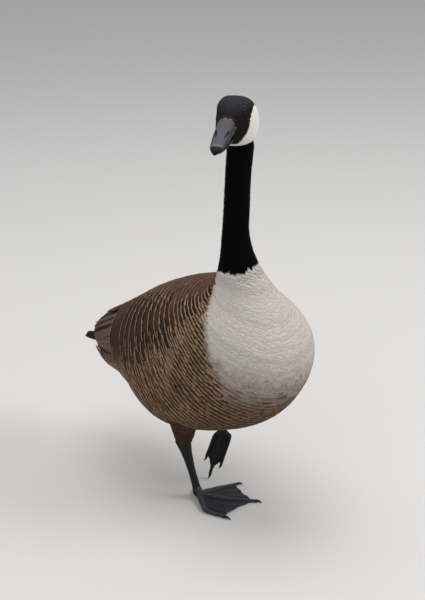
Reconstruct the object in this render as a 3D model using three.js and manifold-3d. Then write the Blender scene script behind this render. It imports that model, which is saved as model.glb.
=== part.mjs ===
// A Canada goose in mid stride, life size, as a still museum model.
// Sizes are in millimetres. Inside the bird's own group x points forward, y to the bird's left
// and z up. The neck rises from x = 0 and the floor is z = 0.
import * as THREE from "three";
import { mergeVertices } from "three/addons/utils/BufferGeometryUtils.js";
import Module from "manifold-3d";

const wasm = await Module();
wasm.setup();

// Driving sizes
const GAP = 0.3;
const WELD = 1e-4;
// Side of a box that is larger than the bird.
const BEYOND = 1600;
// Steps of a tube for each point of its path, and how upright its chord is before its guide lies level.
const TUBE = { steps: 1.4, upright: 0.7 };
const FRAME_SHIFT = { x: 0, y: -151.5 };
const ROUNDNESS = 2.15;

// Rings of the body, each in a plane of its own: the back [x, z], the belly [x, z] and the half width.
const BODY_RINGS = [
  { back: [-19, 650], belly: [22, 650], half: 22.5 },
  { back: [-22, 588], belly: [18, 588], half: 20 },
  { back: [-26, 525], belly: [15, 526], half: 20 },
  { back: [-31, 470], belly: [16, 474], half: 21 },
  { back: [-33, 430], belly: [40, 425], half: 30 },
  { back: [-38, 404], belly: [93, 367], half: 53 },
  { back: [-57, 391], belly: [133, 305], half: 89 },
  { back: [-90, 387], belly: [112, 233], half: 108 },
  { back: [-135, 371], belly: [44, 166], half: 114 },
  { back: [-188, 345], belly: [-102, 112], half: 110 },
  { back: [-242, 312], belly: [-187, 134], half: 89 },
  { back: [-298, 279], belly: [-250, 147], half: 70 },
  { back: [-347, 251], belly: [-308, 147], half: 54 },
  { back: [-379, 222], belly: [-356, 155], half: 35 },
  { back: [-406, 207], belly: [-396, 152], half: 29 },
  { back: [-438, 193], belly: [-430, 150], half: 22 },
];
const NECK = { top: 0.12, bottom: 4.4, overlap: 0.4, steps: 15, sides: 20 };
// The top of the neck that is one with the head.
const NAPE = { bottom: 1.4, steps: 4 };
// The top of the neck leans forward and to the right, under the turned head.
const NECK_LEAN = { from: 560, over: 90, by: [11.5, -7.2] };
const TORSO = { front: 4.4, rear: 13, steps: 30, sides: 28 };

// The folded wing lies in a shallow bed in the side of the torso. The beds of both sides join over the
// back from the ring joinedFrom on.
const WING = {
  front: 7.15,
  bedDepth: 14,
  bedRampRings: 0.5,
  bedRampDegrees: 14,
  bedFrontShare: 0.3,
  bedEdgeShare: 0.4,
  joinedFrom: 10,
  midlineDegrees: 3,
};
// The flesh and quill roots of the folded wing: a pad on the floor of the bed.
const WING_CORE = {
  front: 7.3,
  rear: 12.2,
  top: -9,
  frontTop: -2,
  slope: [8, 8.9],
  rim: 2,
  inset: { upper: 1.5, lower: 3 },
  under: 1,
  steps: 7,
  across: 4,
};
// Upper and lower edge of the folded wing in degrees from the ridge of the back, ring by ring.
const WING_UPPER = [
  [7, 34],
  [8, 22],
  [9, 13],
  [10, 7],
  [11, 4.5],
  [15, 4.5],
];
const WING_LOWER = [
  [7, 70],
  [8, 78],
  [9, 84],
  [10, 93],
  [11, 105],
  [12, 112],
  [13, 108],
  [15, 90],
];

// Rows of covert vanes over the wing, by the ring that their tips reach.
const COVERT_ROWS = [
  { tip: 8.9, length: 56 },
  { tip: 9.4, length: 62 },
  { tip: 9.9, length: 68 },
  { tip: 10.5, length: 74 },
  { tip: 11.3, length: 86 },
];
const COVERT = {
  width: 31,
  spacing: 26.5,
  lowerEdgeShare: 0.385,
  rootHeight: -11.3,
  tipHeight: 0,
  roll: 0.09,
  jitterRings: 0.04,
  jitterDegrees: 1,
  seeds: { left: 11, right: 23 },
};
// Quills of the folded wing: the first lies at its degrees, its tip on a ring of the form and its root
// and tip at heights over the form. Each next one moves on by the step, the tipStep and the layer.
const SECONDARIES = {
  count: 5,
  tip: 13.05,
  tipStep: 0,
  length: 140,
  width: 19,
  degrees: 103,
  step: -13,
  rootHeight: -12.4,
  tipHeight: -6.4,
  layer: 0.4,
  roll: 0.15,
};
const TERTIALS = {
  count: 4,
  tip: 12.6,
  tipStep: 0.2,
  length: 104,
  width: 26,
  degrees: 62,
  step: -15,
  rootHeight: -10.4,
  tipHeight: -2,
  layer: 0.5,
  roll: 0.17,
};
const PRIMARIES = {
  count: 3,
  tip: 13.9,
  tipStep: -0.2,
  length: 100,
  width: 15,
  degrees: 18,
  step: 9,
  rootHeight: -10.6,
  tipHeight: -8,
  layer: -1.15,
  roll: 0,
};
// A vane's outline from root to tip, as shares of its length and of its width.
const VANE = {
  shares: [0, 0.3, 0.62, 0.86, 1],
  widths: [0.5, 0.94, 1, 0.86, 0.4],
  thickness: 0.9,
  tipThickness: 0.5,
  rootPull: 0.22,
  clearance: 1.3,
};

const HEAD = {
  eyeMiddle: [16.5, -26.2, 678.8],
  heading: -55,
  pitch: 8,
  roll: -1.5,
  roundness: 2.35,
  cheeks: 0.1,
  steps: 18,
  sides: 20,
};
// Rings of the skull in the head's own frame, from the nape to the brow of the bill.
const SKULL_RINGS = [
  { at: -47, top: -8, bottom: -28, half: 10 },
  { at: -44, top: 1, bottom: -39, half: 20.5 },
  { at: -36, top: 10.5, bottom: -49, half: 29 },
  { at: -22, top: 17, bottom: -58, half: 31.5 },
  { at: -8, top: 18.5, bottom: -57.5, half: 30 },
  { at: 5, top: 17.5, bottom: -52.5, half: 26.2 },
  { at: 17, top: 14.5, bottom: -44.5, half: 22 },
  { at: 29, top: 10, bottom: -38.5, half: 18.3 },
  { at: 40, top: 4.6, bottom: -33.5, half: 15 },
  { at: 50, top: 0, bottom: -32, half: 14 },
];
const EYE = {
  at: 8,
  side: 13.2,
  up: 3,
  radius: 7.6,
  opening: 5.8,
  flare: 1.4,
  holeStart: 2,
  holeLength: 16,
  lid: 1.5,
  lidOut: 0.5,
  lidRise: 0.3,
  lidSides: 6,
  ahead: 0.34,
  lift: 0.16,
  sides: 14,
  bands: 9,
};
// The bill starts on a slanted line from the root of the culmen back to the gape.
const BILL = {
  rootAt: 42,
  rootUp: 3,
  slant: 1 / 3,
  mouth: -24,
  upperRoundness: 2.5,
  lowerRoundness: 2.3,
  upperSteps: 16,
  lowerSteps: 10,
  sides: 16,
};
const UPPER_BILL_RINGS = [
  { at: 28, top: 7, bottom: -23.6, half: 14.6 },
  { at: 42, top: 3.4, bottom: -23.4, half: 13.8 },
  { at: 55, top: -2.6, bottom: -23, half: 13.3 },
  { at: 68, top: -8.4, bottom: -23, half: 13 },
  { at: 80, top: -12.8, bottom: -23.6, half: 12.4 },
  { at: 91, top: -16.2, bottom: -24.4, half: 11.6 },
  { at: 98, top: -18.4, bottom: -26, half: 9.6 },
  { at: 103, top: -21, bottom: -27.6, half: 5.2 },
  { at: 105, top: -23.6, bottom: -28, half: 2.4 },
];
const LOWER_BILL_RINGS = [
  { at: 26, top: -24.2, bottom: -31.6, half: 12.6 },
  { at: 42, top: -24, bottom: -31.4, half: 12 },
  { at: 60, top: -23.6, bottom: -30.4, half: 11.2 },
  { at: 78, top: -24.2, bottom: -30, half: 10 },
  { at: 90, top: -25.2, bottom: -29.8, half: 7.8 },
  { at: 95, top: -26.8, bottom: -29.8, half: 4.6 },
];
const NOSTRIL = {
  at: 66,
  up: -11,
  half: 10.4,
  length: 12,
  height: 3,
  deep: 3.2,
  turn: -28,
  tilt: 30,
  sides: 12,
};
const MOUTH = { length: 13, back: 11, side: 16, depth: 8, height: 0.9 };
// Where the head is parted from the neck, just under the jaw.
const HEAD_CUT = { point: [8, -7, 617], normal: [-0.2, 0.24, 1] };

// Rings of the coverts over and under the root of the tail, in the tail's own frame.
const TAIL_COVERTS = [
  { at: -12, middle: -3, top: 20, bottom: -32, half: 21 },
  { at: 2, middle: -3, top: 19, bottom: -31, half: 22 },
  { at: 14, middle: -2, top: 14, bottom: -23, half: 21.5 },
  { at: 26, middle: -2, top: 8, bottom: -14, half: 20 },
  { at: 34, middle: -2, top: 3, bottom: -8, half: 17 },
  { at: 38, middle: -2, top: 1, bottom: -5, half: 13 },
];
// Tail quills in pairs beside a middle one, each pair under the one before, tips spread in a fan.
const TAIL = {
  pitch: 8,
  root: 16,
  length: 70,
  tips: [0, 5.5, 9, 12.5, 16, 19, 22],
  rounding: 1.3,
  rootShare: 0.42,
  width: 14,
  top: -1,
  layer: 1.15,
  baseSides: 16,
};

// Toes are joints of their own swell as shares of the root's radius, ending in the tip's.
const TOE = {
  root: 5.4,
  swell: [1, 0.86, 0.9, 0.74],
  tip: 3.4,
  taper: 0.9,
  squash: 0.85,
  steps: 5,
  sides: 6,
};
// A claw's radii as shares of the toe's tip, how far its middle arches and its point drops.
const CLAW = {
  length: 13,
  gap: 0.35,
  radii: [0.84, 0.62, 0.18],
  arch: 0.4,
  drop: 2.4,
  squash: 0.85,
  sides: 6,
};
// The free edge of a web reaches this share of both toes, and a notch less in its middle.
const WEB = { thickness: 1.5, root: 0.03, reach: 0.97, notch: 0.03, along: 4, across: 4 };
const KNUCKLE = {
  radius: 8.6,
  height: 0.92,
  hindRoot: 4.5,
  hindTip: 1.2,
  stem: [7.8, 6.6],
  stemShare: 0.4,
  squash: 0.85,
  sides: 10,
  bands: 8,
};
const SHANK = { beyondAnkle: 14, shares: [0, 0.25, 0.5, 0.75, 1], squash: 0.85, sides: 12 };
const THIGH = {
  radii: [13.5, 23, 28, 31],
  bend: [0.3, 0.65],
  overlap: 2,
  squash: 0.95,
  sides: 14,
};
const RIGHT_LEG = {
  thighTop: [-74, -54, 172],
  ankle: [-81, -47, 92],
  joint: [-58, -37, 8],
  footEnd: 11,
  thighEnd: 95,
  shankRadii: [7.8, 6.8, 7.1, 9.4, 14.5],
  hind: { tip: [-84, -28, 0.9], radius: 3.2 },
  clawDown: [0, 0, -1],
  toes: [
    { name: "inner", via: [-58, 5, 3.6], tip: [-50, 40, 3] },
    { name: "middle", via: [-21, -6, 3.6], tip: [14, 27, 3] },
    { name: "outer", via: [-12, -57, 3.6], tip: [22, -46, 3] },
  ],
};
const LEFT_LEG = {
  thighTop: [-100, 50, 172],
  ankle: [-95, 47, 140],
  joint: [-81, 36, 99],
  footEnd: 8,
  thighEnd: 15,
  shankRadii: [7.8, 7, 6.8, 7, 7.4],
  hind: { tip: [-102, 43, 90], radius: 3 },
  clawDown: [-1, 0, -0.2],
  toes: [
    { name: "inner", via: [-90, 25, 84], tip: [-103, 18, 45] },
    { name: "middle", via: [-87, 27, 60], tip: [-96, 20, 13] },
    { name: "outer", via: [-73, 43, 82], tip: [-84, 35, 32] },
  ],
};

const FINISHES = {
  head: { color: 0x2a2221, roughness: 0.8 },
  neck: { color: 0x14120f, roughness: 0.85 },
  body: { color: 0x5d4a3c, roughness: 0.8 },
  tail: { color: 0x14120f, roughness: 0.7 },
  bill: { color: 0x4d545c, roughness: 0.45 },
  eye: { color: 0x1d100b, roughness: 0.1 },
  leg: { color: 0x2b2a2e, roughness: 0.6 },
  claw: { color: 0x1a1816, roughness: 0.5 },
  thigh: { color: 0x4a3328, roughness: 0.85 },
};

// Small helpers
const radians = THREE.MathUtils.degToRad;

function smoothstep(value) {
  const x = Math.min(1, Math.max(0, value));
  return x * x * (3 - 2 * x);
}

// Straight-line look-up in a list of [position, value] pairs.
function lookUp(pairs, position) {
  if (position <= pairs[0][0]) {
    return pairs[0][1];
  }
  for (let i = 1; i < pairs.length; i++) {
    const [a, va] = pairs[i - 1];
    const [b, vb] = pairs[i];
    if (position <= b) {
      return va + ((vb - va) * (position - a)) / (b - a);
    }
  }
  return pairs[pairs.length - 1][1];
}

// Catmull-Rom value through a list of number rows, the ends carried on straight.
function splineRow(rows, position) {
  const last = rows.length - 1;
  const i = Math.min(last - 1, Math.max(0, Math.floor(position)));
  const u = position - i;
  const row = (k) => {
    if (k < 0) {
      return rows[0].map((v, n) => 2 * v - rows[1][n]);
    }
    if (k > last) {
      return rows[last].map((v, n) => 2 * v - rows[last - 1][n]);
    }
    return rows[k];
  };
  const [a, b, c, d] = [row(i - 1), row(i), row(i + 1), row(i + 2)];
  return b.map((_, n) => {
    const linear = c[n] - a[n];
    const square = 2 * a[n] - 5 * b[n] + 4 * c[n] - d[n];
    const cube = 3 * b[n] - a[n] - 3 * c[n] + d[n];
    return 0.5 * (2 * b[n] + u * (linear + u * (square + u * cube)));
  });
}

function roundPower(value) {
  return Math.sign(value) * Math.abs(value) ** (2 / ROUNDNESS);
}

// A closed solid from vertices and triangles, turned so that its faces point out.
function solidFrom(vertices, triangles) {
  const geometry = new THREE.BufferGeometry();
  geometry.setAttribute("position", new THREE.Float32BufferAttribute(vertices.flat(), 3));
  geometry.setIndex(triangles.flat());
  const merged = mergeVertices(geometry, WELD);
  const build = (index) =>
    new wasm.Manifold(
      new wasm.Mesh({
        numProp: 3,
        vertProperties: merged.attributes.position.array,
        triVerts: new Uint32Array(index),
      }),
    );
  const index = Array.from(merged.index.array);
  const made = build(index);
  if (made.volume() > 0) {
    return made;
  }
  const turned = [];
  for (let i = 0; i < index.length; i += 3) {
    turned.push(index[i], index[i + 2], index[i + 1]);
  }
  return build(turned);
}

function solidOfGeometry(geometry) {
  const bare = geometry.index ? geometry.toNonIndexed() : geometry.clone();
  bare.deleteAttribute("normal");
  bare.deleteAttribute("uv");
  const merged = mergeVertices(bare, WELD);
  return new wasm.Manifold(
    new wasm.Mesh({
      numProp: 3,
      vertProperties: merged.attributes.position.array,
      triVerts: new Uint32Array(merged.index.array),
    }),
  );
}

// Rings of the same number of points joined in order, with a fan over each end.
function loft(rings) {
  const count = rings[0].length;
  const vertices = rings.flat();
  const triangles = [];
  for (let i = 0; i + 1 < rings.length; i++) {
    for (let j = 0; j < count; j++) {
      const next = (j + 1) % count;
      const a = i * count + j;
      const b = i * count + next;
      triangles.push([a, b, b + count], [a, b + count, a + count]);
    }
  }
  [0, rings.length - 1].forEach((end) => {
    const centre = vertices.length;
    const ring = rings[end];
    vertices.push([0, 1, 2].map((k) => ring.reduce((sum, p) => sum + p[k], 0) / count));
    for (let j = 0; j < count; j++) {
      const a = end * count + j;
      const b = end * count + ((j + 1) % count);
      triangles.push(end === 0 ? [b, a, centre] : [a, b, centre]);
    }
  });
  return solidFrom(vertices, triangles);
}

// The solid on the side of a plane that its normal points to.
function keepSide(solid, point, normal) {
  const box = new THREE.BoxGeometry(BEYOND, BEYOND, BEYOND).translate(0, 0, BEYOND / 2);
  const turn = new THREE.Quaternion().setFromUnitVectors(
    new THREE.Vector3(0, 0, 1),
    new THREE.Vector3(...normal).normalize(),
  );
  box.applyQuaternion(turn);
  box.translate(...point);
  return solid.intersect(solidOfGeometry(box));
}

function largestBody(solid) {
  const bodies = solid.decompose();
  bodies.sort((a, b) => b.volume() - a.volume());
  return solidWithoutHollows(bodies[0]);
}

// Fills hollows that a union has sealed: only the outer surface, the one of largest volume, stays.
function solidWithoutHollows(solid) {
  const mesh = solid.getMesh();
  const parent = Array.from({ length: mesh.numVert }, (_, i) => i);
  const find = (i) => {
    while (parent[i] !== i) {
      parent[i] = parent[parent[i]];
      i = parent[i];
    }
    return i;
  };
  for (let i = 0; i < mesh.triVerts.length; i += 3) {
    parent[find(mesh.triVerts[i])] = find(mesh.triVerts[i + 1]);
    parent[find(mesh.triVerts[i + 1])] = find(mesh.triVerts[i + 2]);
  }
  const groups = new Map();
  for (let i = 0; i < mesh.triVerts.length; i += 3) {
    const root = find(mesh.triVerts[i]);
    if (!groups.has(root)) {
      groups.set(root, []);
    }
    groups.get(root).push(mesh.triVerts[i], mesh.triVerts[i + 1], mesh.triVerts[i + 2]);
  }
  const vertices = [];
  for (let i = 0; i < mesh.numVert; i++) {
    const at = i * mesh.numProp;
    vertices.push(Array.from(mesh.vertProperties.subarray(at, at + 3)));
  }
  const volume = (index) => {
    let sum = 0;
    for (let i = 0; i < index.length; i += 3) {
      const [a, b, c] = [vertices[index[i]], vertices[index[i + 1]], vertices[index[i + 2]]];
      sum += a[0] * (b[1] * c[2] - b[2] * c[1]);
      sum -= a[1] * (b[0] * c[2] - b[2] * c[0]);
      sum += a[2] * (b[0] * c[1] - b[1] * c[0]);
    }
    return sum / 6;
  };
  const shells = [...groups.values()].sort((a, b) => volume(b) - volume(a));
  if (shells.length === 1) {
    return solid;
  }
  const triangles = [];
  for (let i = 0; i < shells[0].length; i += 3) {
    triangles.push(shells[0].slice(i, i + 3));
  }
  return solidFrom(vertices, triangles);
}

function union(solids) {
  return wasm.Manifold.union(solids);
}

function meshOf(name, solid, finish) {
  const made = largestBody(solid).getMesh();
  const geometry = new THREE.BufferGeometry();
  const positions = new Float32Array(made.numVert * 3);
  for (let i = 0; i < made.numVert; i++) {
    positions.set(made.vertProperties.subarray(i * made.numProp, i * made.numProp + 3), i * 3);
  }
  geometry.setAttribute("position", new THREE.BufferAttribute(positions, 3));
  geometry.setIndex(new THREE.BufferAttribute(new Uint32Array(made.triVerts), 1));
  geometry.computeVertexNormals();
  const mesh = new THREE.Mesh(geometry, new THREE.MeshStandardMaterial(finish));
  mesh.name = name;
  return mesh;
}

// Body surface
const BODY_ROWS = BODY_RINGS.map((ring) => [...ring.back, ...ring.belly, ring.half]);

// A point of the body's outer form: ring position and angle in degrees from the back, left positive.
function formPoint(position, degrees) {
  const [backX, backZ, bellyX, bellyZ, half] = splineRow(BODY_ROWS, position);
  const up = roundPower(Math.cos(radians(degrees)));
  const side = roundPower(Math.sin(radians(degrees)));
  const x = (backX + bellyX) / 2 + ((backX - bellyX) / 2) * up;
  const z = (backZ + bellyZ) / 2 + ((backZ - bellyZ) / 2) * up;
  const lean = smoothstep((z - NECK_LEAN.from) / NECK_LEAN.over);
  return new THREE.Vector3(x + NECK_LEAN.by[0] * lean, half * side + NECK_LEAN.by[1] * lean, z);
}

const FORM_STEP = { position: 0.02, degrees: 1 };

function formSlopes(position, degrees) {
  const { position: dp, degrees: dd } = FORM_STEP;
  const along = formPoint(position + dp, degrees).sub(formPoint(position - dp, degrees));
  const around = formPoint(position, degrees + dd).sub(formPoint(position, degrees - dd));
  return { along: along.divideScalar(2 * dp), around: around.divideScalar(2 * dd) };
}

// The same point raised by a height along the outward normal.
function formPointAt(position, degrees, height) {
  const { along, around } = formSlopes(position, degrees);
  const normal = around.cross(along).normalize();
  return formPoint(position, degrees).addScaledVector(normal, height);
}

// Depth of the wing's bed below the form, full in the middle and running out at its edges.
function bedDepth(position, degrees) {
  const angle = Math.abs(degrees);
  const front = (position - WING.front) / WING.bedRampRings;
  const upper = (angle - lookUp(WING_UPPER, position)) / WING.bedRampDegrees;
  const lower = (lookUp(WING_LOWER, position) - angle) / WING.bedRampDegrees;
  const upperShare = position > WING.joinedFrom ? 1 : smoothstep(upper + WING.bedEdgeShare);
  const frontShare = smoothstep(front + WING.bedFrontShare);
  return WING.bedDepth * frontShare * upperShare * smoothstep(lower + WING.bedEdgeShare);
}

function ringOf(position, sides, depth) {
  const ring = [];
  for (let j = 0; j < sides; j++) {
    const degrees = (360 * j) / sides - 180;
    ring.push(formPointAt(position, degrees, -depth(position, degrees)).toArray());
  }
  return ring;
}

function ringPlane(position) {
  const [backX, backZ, bellyX, bellyZ] = splineRow(BODY_ROWS, position);
  const across = new THREE.Vector3(backX - bellyX, 0, backZ - bellyZ).normalize();
  const towardsTail = new THREE.Vector3(-across.z, 0, across.x);
  const centre = [(backX + bellyX) / 2, 0, (backZ + bellyZ) / 2];
  return { centre, towardsTail: towardsTail.toArray() };
}

function shifted(point, direction, distance) {
  return point.map((v, k) => v + direction[k] * distance);
}

// Head frame
const headMatrix = new THREE.Matrix4()
  .makeTranslation(...HEAD.eyeMiddle)
  .multiply(new THREE.Matrix4().makeRotationZ(radians(HEAD.heading)))
  .multiply(new THREE.Matrix4().makeRotationY(radians(HEAD.pitch)))
  .multiply(new THREE.Matrix4().makeRotationX(radians(HEAD.roll)));

function inHead(point) {
  return new THREE.Vector3(...point).applyMatrix4(headMatrix).toArray();
}

function inHeadDirection(direction) {
  return new THREE.Vector3(...direction).transformDirection(headMatrix).toArray();
}

// Rings across the head's own axis: superellipses between a top and a bottom line, wider by the share
// cheeks below their middle and narrower above it.
function headLoft(list, steps, sides, power, cheeks) {
  const rows = list.map((ring) => [ring.at, ring.top, ring.bottom, ring.half]);
  const rings = [];
  for (let i = 0; i <= steps; i++) {
    const [at, top, bottom, half] = splineRow(rows, ((list.length - 1) * i) / steps);
    const ring = [];
    for (let j = 0; j < sides; j++) {
      const turn = (2 * Math.PI * j) / sides;
      const c = Math.cos(turn);
      const s = Math.sin(turn);
      const up = Math.sign(c) * Math.abs(c) ** (2 / power);
      const side = Math.sign(s) * Math.abs(s) ** (2 / power);
      const width = half * side * (1 - cheeks * up);
      ring.push(inHead([at, width, (top + bottom) / 2 + ((top - bottom) / 2) * up]));
    }
    rings.push(ring);
  }
  return loft(rings);
}

const billPlane = {
  point: inHead([BILL.rootAt, 0, BILL.rootUp]),
  forward: inHeadDirection([1, 0, -BILL.slant]),
};

function eyeAim(side) {
  return new THREE.Vector3(EYE.ahead, side, EYE.lift).normalize();
}

function eyeCentre(side) {
  return new THREE.Vector3(EYE.at, side * EYE.side, EYE.up);
}

function headSphere(centre, radius) {
  const ball = new THREE.SphereGeometry(radius, EYE.sides, EYE.bands);
  ball.translate(...inHead(centre.toArray()));
  return solidOfGeometry(ball);
}

// A short cylinder along the eye's aim, from the eye's middle out.
function eyeOpening(side) {
  const { opening, flare, holeStart, holeLength } = EYE;
  const hole = new THREE.CylinderGeometry(opening + flare, opening, holeLength, EYE.sides);
  const turn = new THREE.Quaternion().setFromUnitVectors(new THREE.Vector3(0, 1, 0), eyeAim(side));
  hole.translate(0, holeLength / 2 + holeStart, 0);
  hole.applyQuaternion(turn);
  hole.translate(...eyeCentre(side).toArray());
  hole.applyMatrix4(headMatrix);
  return solidOfGeometry(hole);
}

function eyeLid(side) {
  const ring = new THREE.TorusGeometry(EYE.opening + EYE.lidOut, EYE.lid, EYE.lidSides, EYE.sides);
  const turn = new THREE.Quaternion().setFromUnitVectors(new THREE.Vector3(0, 0, 1), eyeAim(side));
  const rise = Math.sqrt(EYE.radius ** 2 - EYE.opening ** 2) + EYE.lidRise;
  ring.translate(0, 0, rise);
  ring.applyQuaternion(turn);
  ring.translate(...eyeCentre(side).toArray());
  ring.applyMatrix4(headMatrix);
  return solidOfGeometry(ring);
}

// A thin wedge behind each gape carries the line of the mouth into the cheek.
function mouthLine(side) {
  const slot = new THREE.BoxGeometry(MOUTH.length, MOUTH.depth, MOUTH.height);
  slot.translate(BILL.rootAt - MOUTH.back, side * MOUTH.side, BILL.mouth);
  slot.applyMatrix4(headMatrix);
  return solidOfGeometry(slot);
}

function neckTube(bottom, steps) {
  const rings = [];
  for (let i = 0; i <= steps; i++) {
    const position = NECK.top + ((bottom - NECK.top) * i) / steps;
    rings.push(ringOf(position, NECK.sides, () => 0));
  }
  return loft(rings);
}

function head() {
  let solid = headLoft(SKULL_RINGS, HEAD.steps, HEAD.sides, HEAD.roundness, HEAD.cheeks);
  solid = solid.add(neckTube(NAPE.bottom, NAPE.steps));
  const up = new THREE.Vector3(...HEAD_CUT.normal).normalize().toArray();
  solid = keepSide(solid, shifted(HEAD_CUT.point, up, GAP / 2), up);
  const backward = billPlane.forward.map((v) => -v);
  solid = keepSide(solid, shifted(billPlane.point, backward, GAP / 2), backward);
  for (const side of [1, -1]) {
    solid = solid.subtract(eyeOpening(side));
    solid = solid.add(eyeLid(side));
    solid = solid.subtract(headSphere(eyeCentre(side), EYE.radius + GAP));
    solid = solid.subtract(mouthLine(side));
  }
  return meshOf("head", solid, FINISHES.head);
}

function eye(side, name) {
  return meshOf(name, headSphere(eyeCentre(side), EYE.radius), FINISHES.eye);
}

function nostril(side) {
  const radius = NOSTRIL.height / 2;
  const slot = new THREE.CylinderGeometry(radius, radius, NOSTRIL.deep * 2, NOSTRIL.sides);
  slot.scale(NOSTRIL.length / NOSTRIL.height, 1, 1);
  slot.rotateY(radians(NOSTRIL.turn));
  slot.rotateX(radians(90));
  slot.rotateY(radians(NOSTRIL.tilt));
  slot.translate(NOSTRIL.at, side * NOSTRIL.half, NOSTRIL.up);
  slot.applyMatrix4(headMatrix);
  return solidOfGeometry(slot);
}

function upperBill() {
  let solid = headLoft(UPPER_BILL_RINGS, BILL.upperSteps, BILL.sides, BILL.upperRoundness, 0);
  solid = keepSide(solid, shifted(billPlane.point, billPlane.forward, GAP / 2), billPlane.forward);
  for (const side of [1, -1]) {
    solid = solid.subtract(nostril(side));
  }
  return meshOf("bill_upper", solid, FINISHES.bill);
}

function lowerBill() {
  const made = headLoft(LOWER_BILL_RINGS, BILL.lowerSteps, BILL.sides, BILL.lowerRoundness, 0);
  const solid = keepSide(made, shifted(billPlane.point, billPlane.forward, GAP / 2), billPlane.forward);
  return meshOf("bill_lower", solid, FINISHES.bill);
}

function neck() {
  const plane = ringPlane(NECK.bottom);
  const up = new THREE.Vector3(...HEAD_CUT.normal).negate().normalize().toArray();
  let solid = neckTube(NECK.bottom + NECK.overlap, NECK.steps);
  solid = keepSide(solid, shifted(HEAD_CUT.point, up, GAP / 2), up);
  const towardsHead = plane.towardsTail.map((v) => -v);
  solid = keepSide(solid, shifted(plane.centre, towardsHead, GAP / 2), towardsHead);
  return meshOf("neck", solid, FINISHES.neck);
}

// Torso form with an extra skin all over, zero for the torso itself.
function torsoSolid(skin) {
  const rings = [];
  for (let i = 0; i <= TORSO.steps; i++) {
    const position = TORSO.front + ((TORSO.rear - TORSO.front) * i) / TORSO.steps;
    rings.push(ringOf(position, TORSO.sides, (p, d) => bedDepth(p, d) - skin));
  }
  return loft(rings);
}

const torsoClearance = torsoSolid(GAP);

function torso() {
  const plane = ringPlane(TORSO.front);
  const point = shifted(plane.centre, plane.towardsTail, GAP / 2);
  const solid = keepSide(torsoSolid(0), point, plane.towardsTail);
  return meshOf("torso", solid, FINISHES.body);
}

// Repeatable random numbers between -1 and 1, from a multiplicative generator.
function seededJitter(seed) {
  const multiplier = 16807;
  const modulus = 2147483647;
  let state = seed;
  return () => {
    state = (state * multiplier) % modulus;
    return (2 * state) / modulus - 1;
  };
}

// A feather's vane as a thin tapered plate, root first. place(share, offset, height) puts a point on
// the surface that carries the feather. Both faces are split along the same diagonals.
function vane(width, place) {
  const vertices = [];
  VANE.shares.forEach((share, k) => {
    const half = (width / 2) * VANE.widths[k];
    const depth = VANE.thickness + (VANE.tipThickness - VANE.thickness) * share;
    for (const height of [0, -depth]) {
      vertices.push(place(share, -half, height), place(share, half, height));
    }
  });
  const triangles = [];
  const stride = 4;
  for (let k = 0; k + 1 < VANE.shares.length; k++) {
    const [topA, topB, lowA, lowB] = [0, 1, 2, 3].map((n) => k * stride + n);
    triangles.push([topA, topB, topB + stride], [topA, topB + stride, topA + stride]);
    triangles.push([lowA, lowB + stride, lowB], [lowA, lowA + stride, lowB + stride]);
    triangles.push([topB, lowB, lowB + stride], [topB, lowB + stride, topB + stride]);
    triangles.push([lowA, topA, topA + stride], [lowA, topA + stride, lowA + stride]);
  }
  const end = (VANE.shares.length - 1) * stride;
  triangles.push([1, 0, 2], [1, 2, 3], [end, end + 1, end + 3], [end, end + 3, end + 2]);
  return solidFrom(vertices, triangles);
}

// A vane that lies tailwards on the wing, from a root in the core up to its tip, rolled a little so
// that each overlaps the next below it.
function wingVane(side, feather) {
  const positions = [feather.tip];
  for (let k = VANE.shares.length - 2; k >= 0; k--) {
    const run = (VANE.shares[k + 1] - VANE.shares[k]) * feather.length;
    const pace = formSlopes(positions[0], feather.degrees).along.length();
    positions.unshift(positions[0] - run / pace);
  }
  const middle = (lookUp(WING_UPPER, positions[0]) + lookUp(WING_LOWER, positions[0])) / 2;
  return vane(feather.width, (share, offset, height) => {
    const position = positions[VANE.shares.indexOf(share)];
    const line = feather.degrees + (middle - feather.degrees) * VANE.rootPull * (1 - share);
    const pace = formSlopes(position, line).around.length();
    const degrees = Math.max(WING.midlineDegrees, line + offset / pace);
    const rise = feather.rootHeight + (feather.tipHeight - feather.rootHeight) * share;
    const lowest = VANE.clearance + VANE.thickness - bedDepth(position, degrees);
    const top = Math.max(lowest, rise + feather.roll * offset);
    return formPointAt(position, side * degrees, top + height).toArray();
  });
}

// The coverts, quill by quill in rows like slates, each row half a feather out of step with the last.
function covertFeathers(jitter) {
  const feathers = [];
  COVERT_ROWS.forEach((row, number) => {
    const middle = (lookUp(WING_UPPER, row.tip) + lookUp(WING_LOWER, row.tip)) / 2;
    const pace = formSlopes(row.tip, middle).around.length();
    const upper = lookUp(WING_UPPER, row.tip) + COVERT.width / 2 / pace;
    const lower = lookUp(WING_LOWER, row.tip) - (COVERT.width * COVERT.lowerEdgeShare) / pace;
    const count = Math.round(((lower - upper) * pace) / COVERT.spacing) + (number % 2);
    for (let k = 0; k <= count; k++) {
      feathers.push({
        ...COVERT,
        tip: row.tip + COVERT.jitterRings * jitter(),
        degrees: upper + ((lower - upper) * k) / count + COVERT.jitterDegrees * jitter(),
        length: row.length,
      });
    }
  });
  return feathers;
}

function quillFeathers() {
  return [SECONDARIES, TERTIALS, PRIMARIES].flatMap((group) =>
    Array.from({ length: group.count }, (_, k) => ({
      ...group,
      degrees: group.degrees + group.step * k,
      tip: group.tip + group.tipStep * k,
      rootHeight: group.rootHeight + group.layer * k,
      tipHeight: group.tipHeight + group.layer * k,
    })),
  );
}

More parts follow.
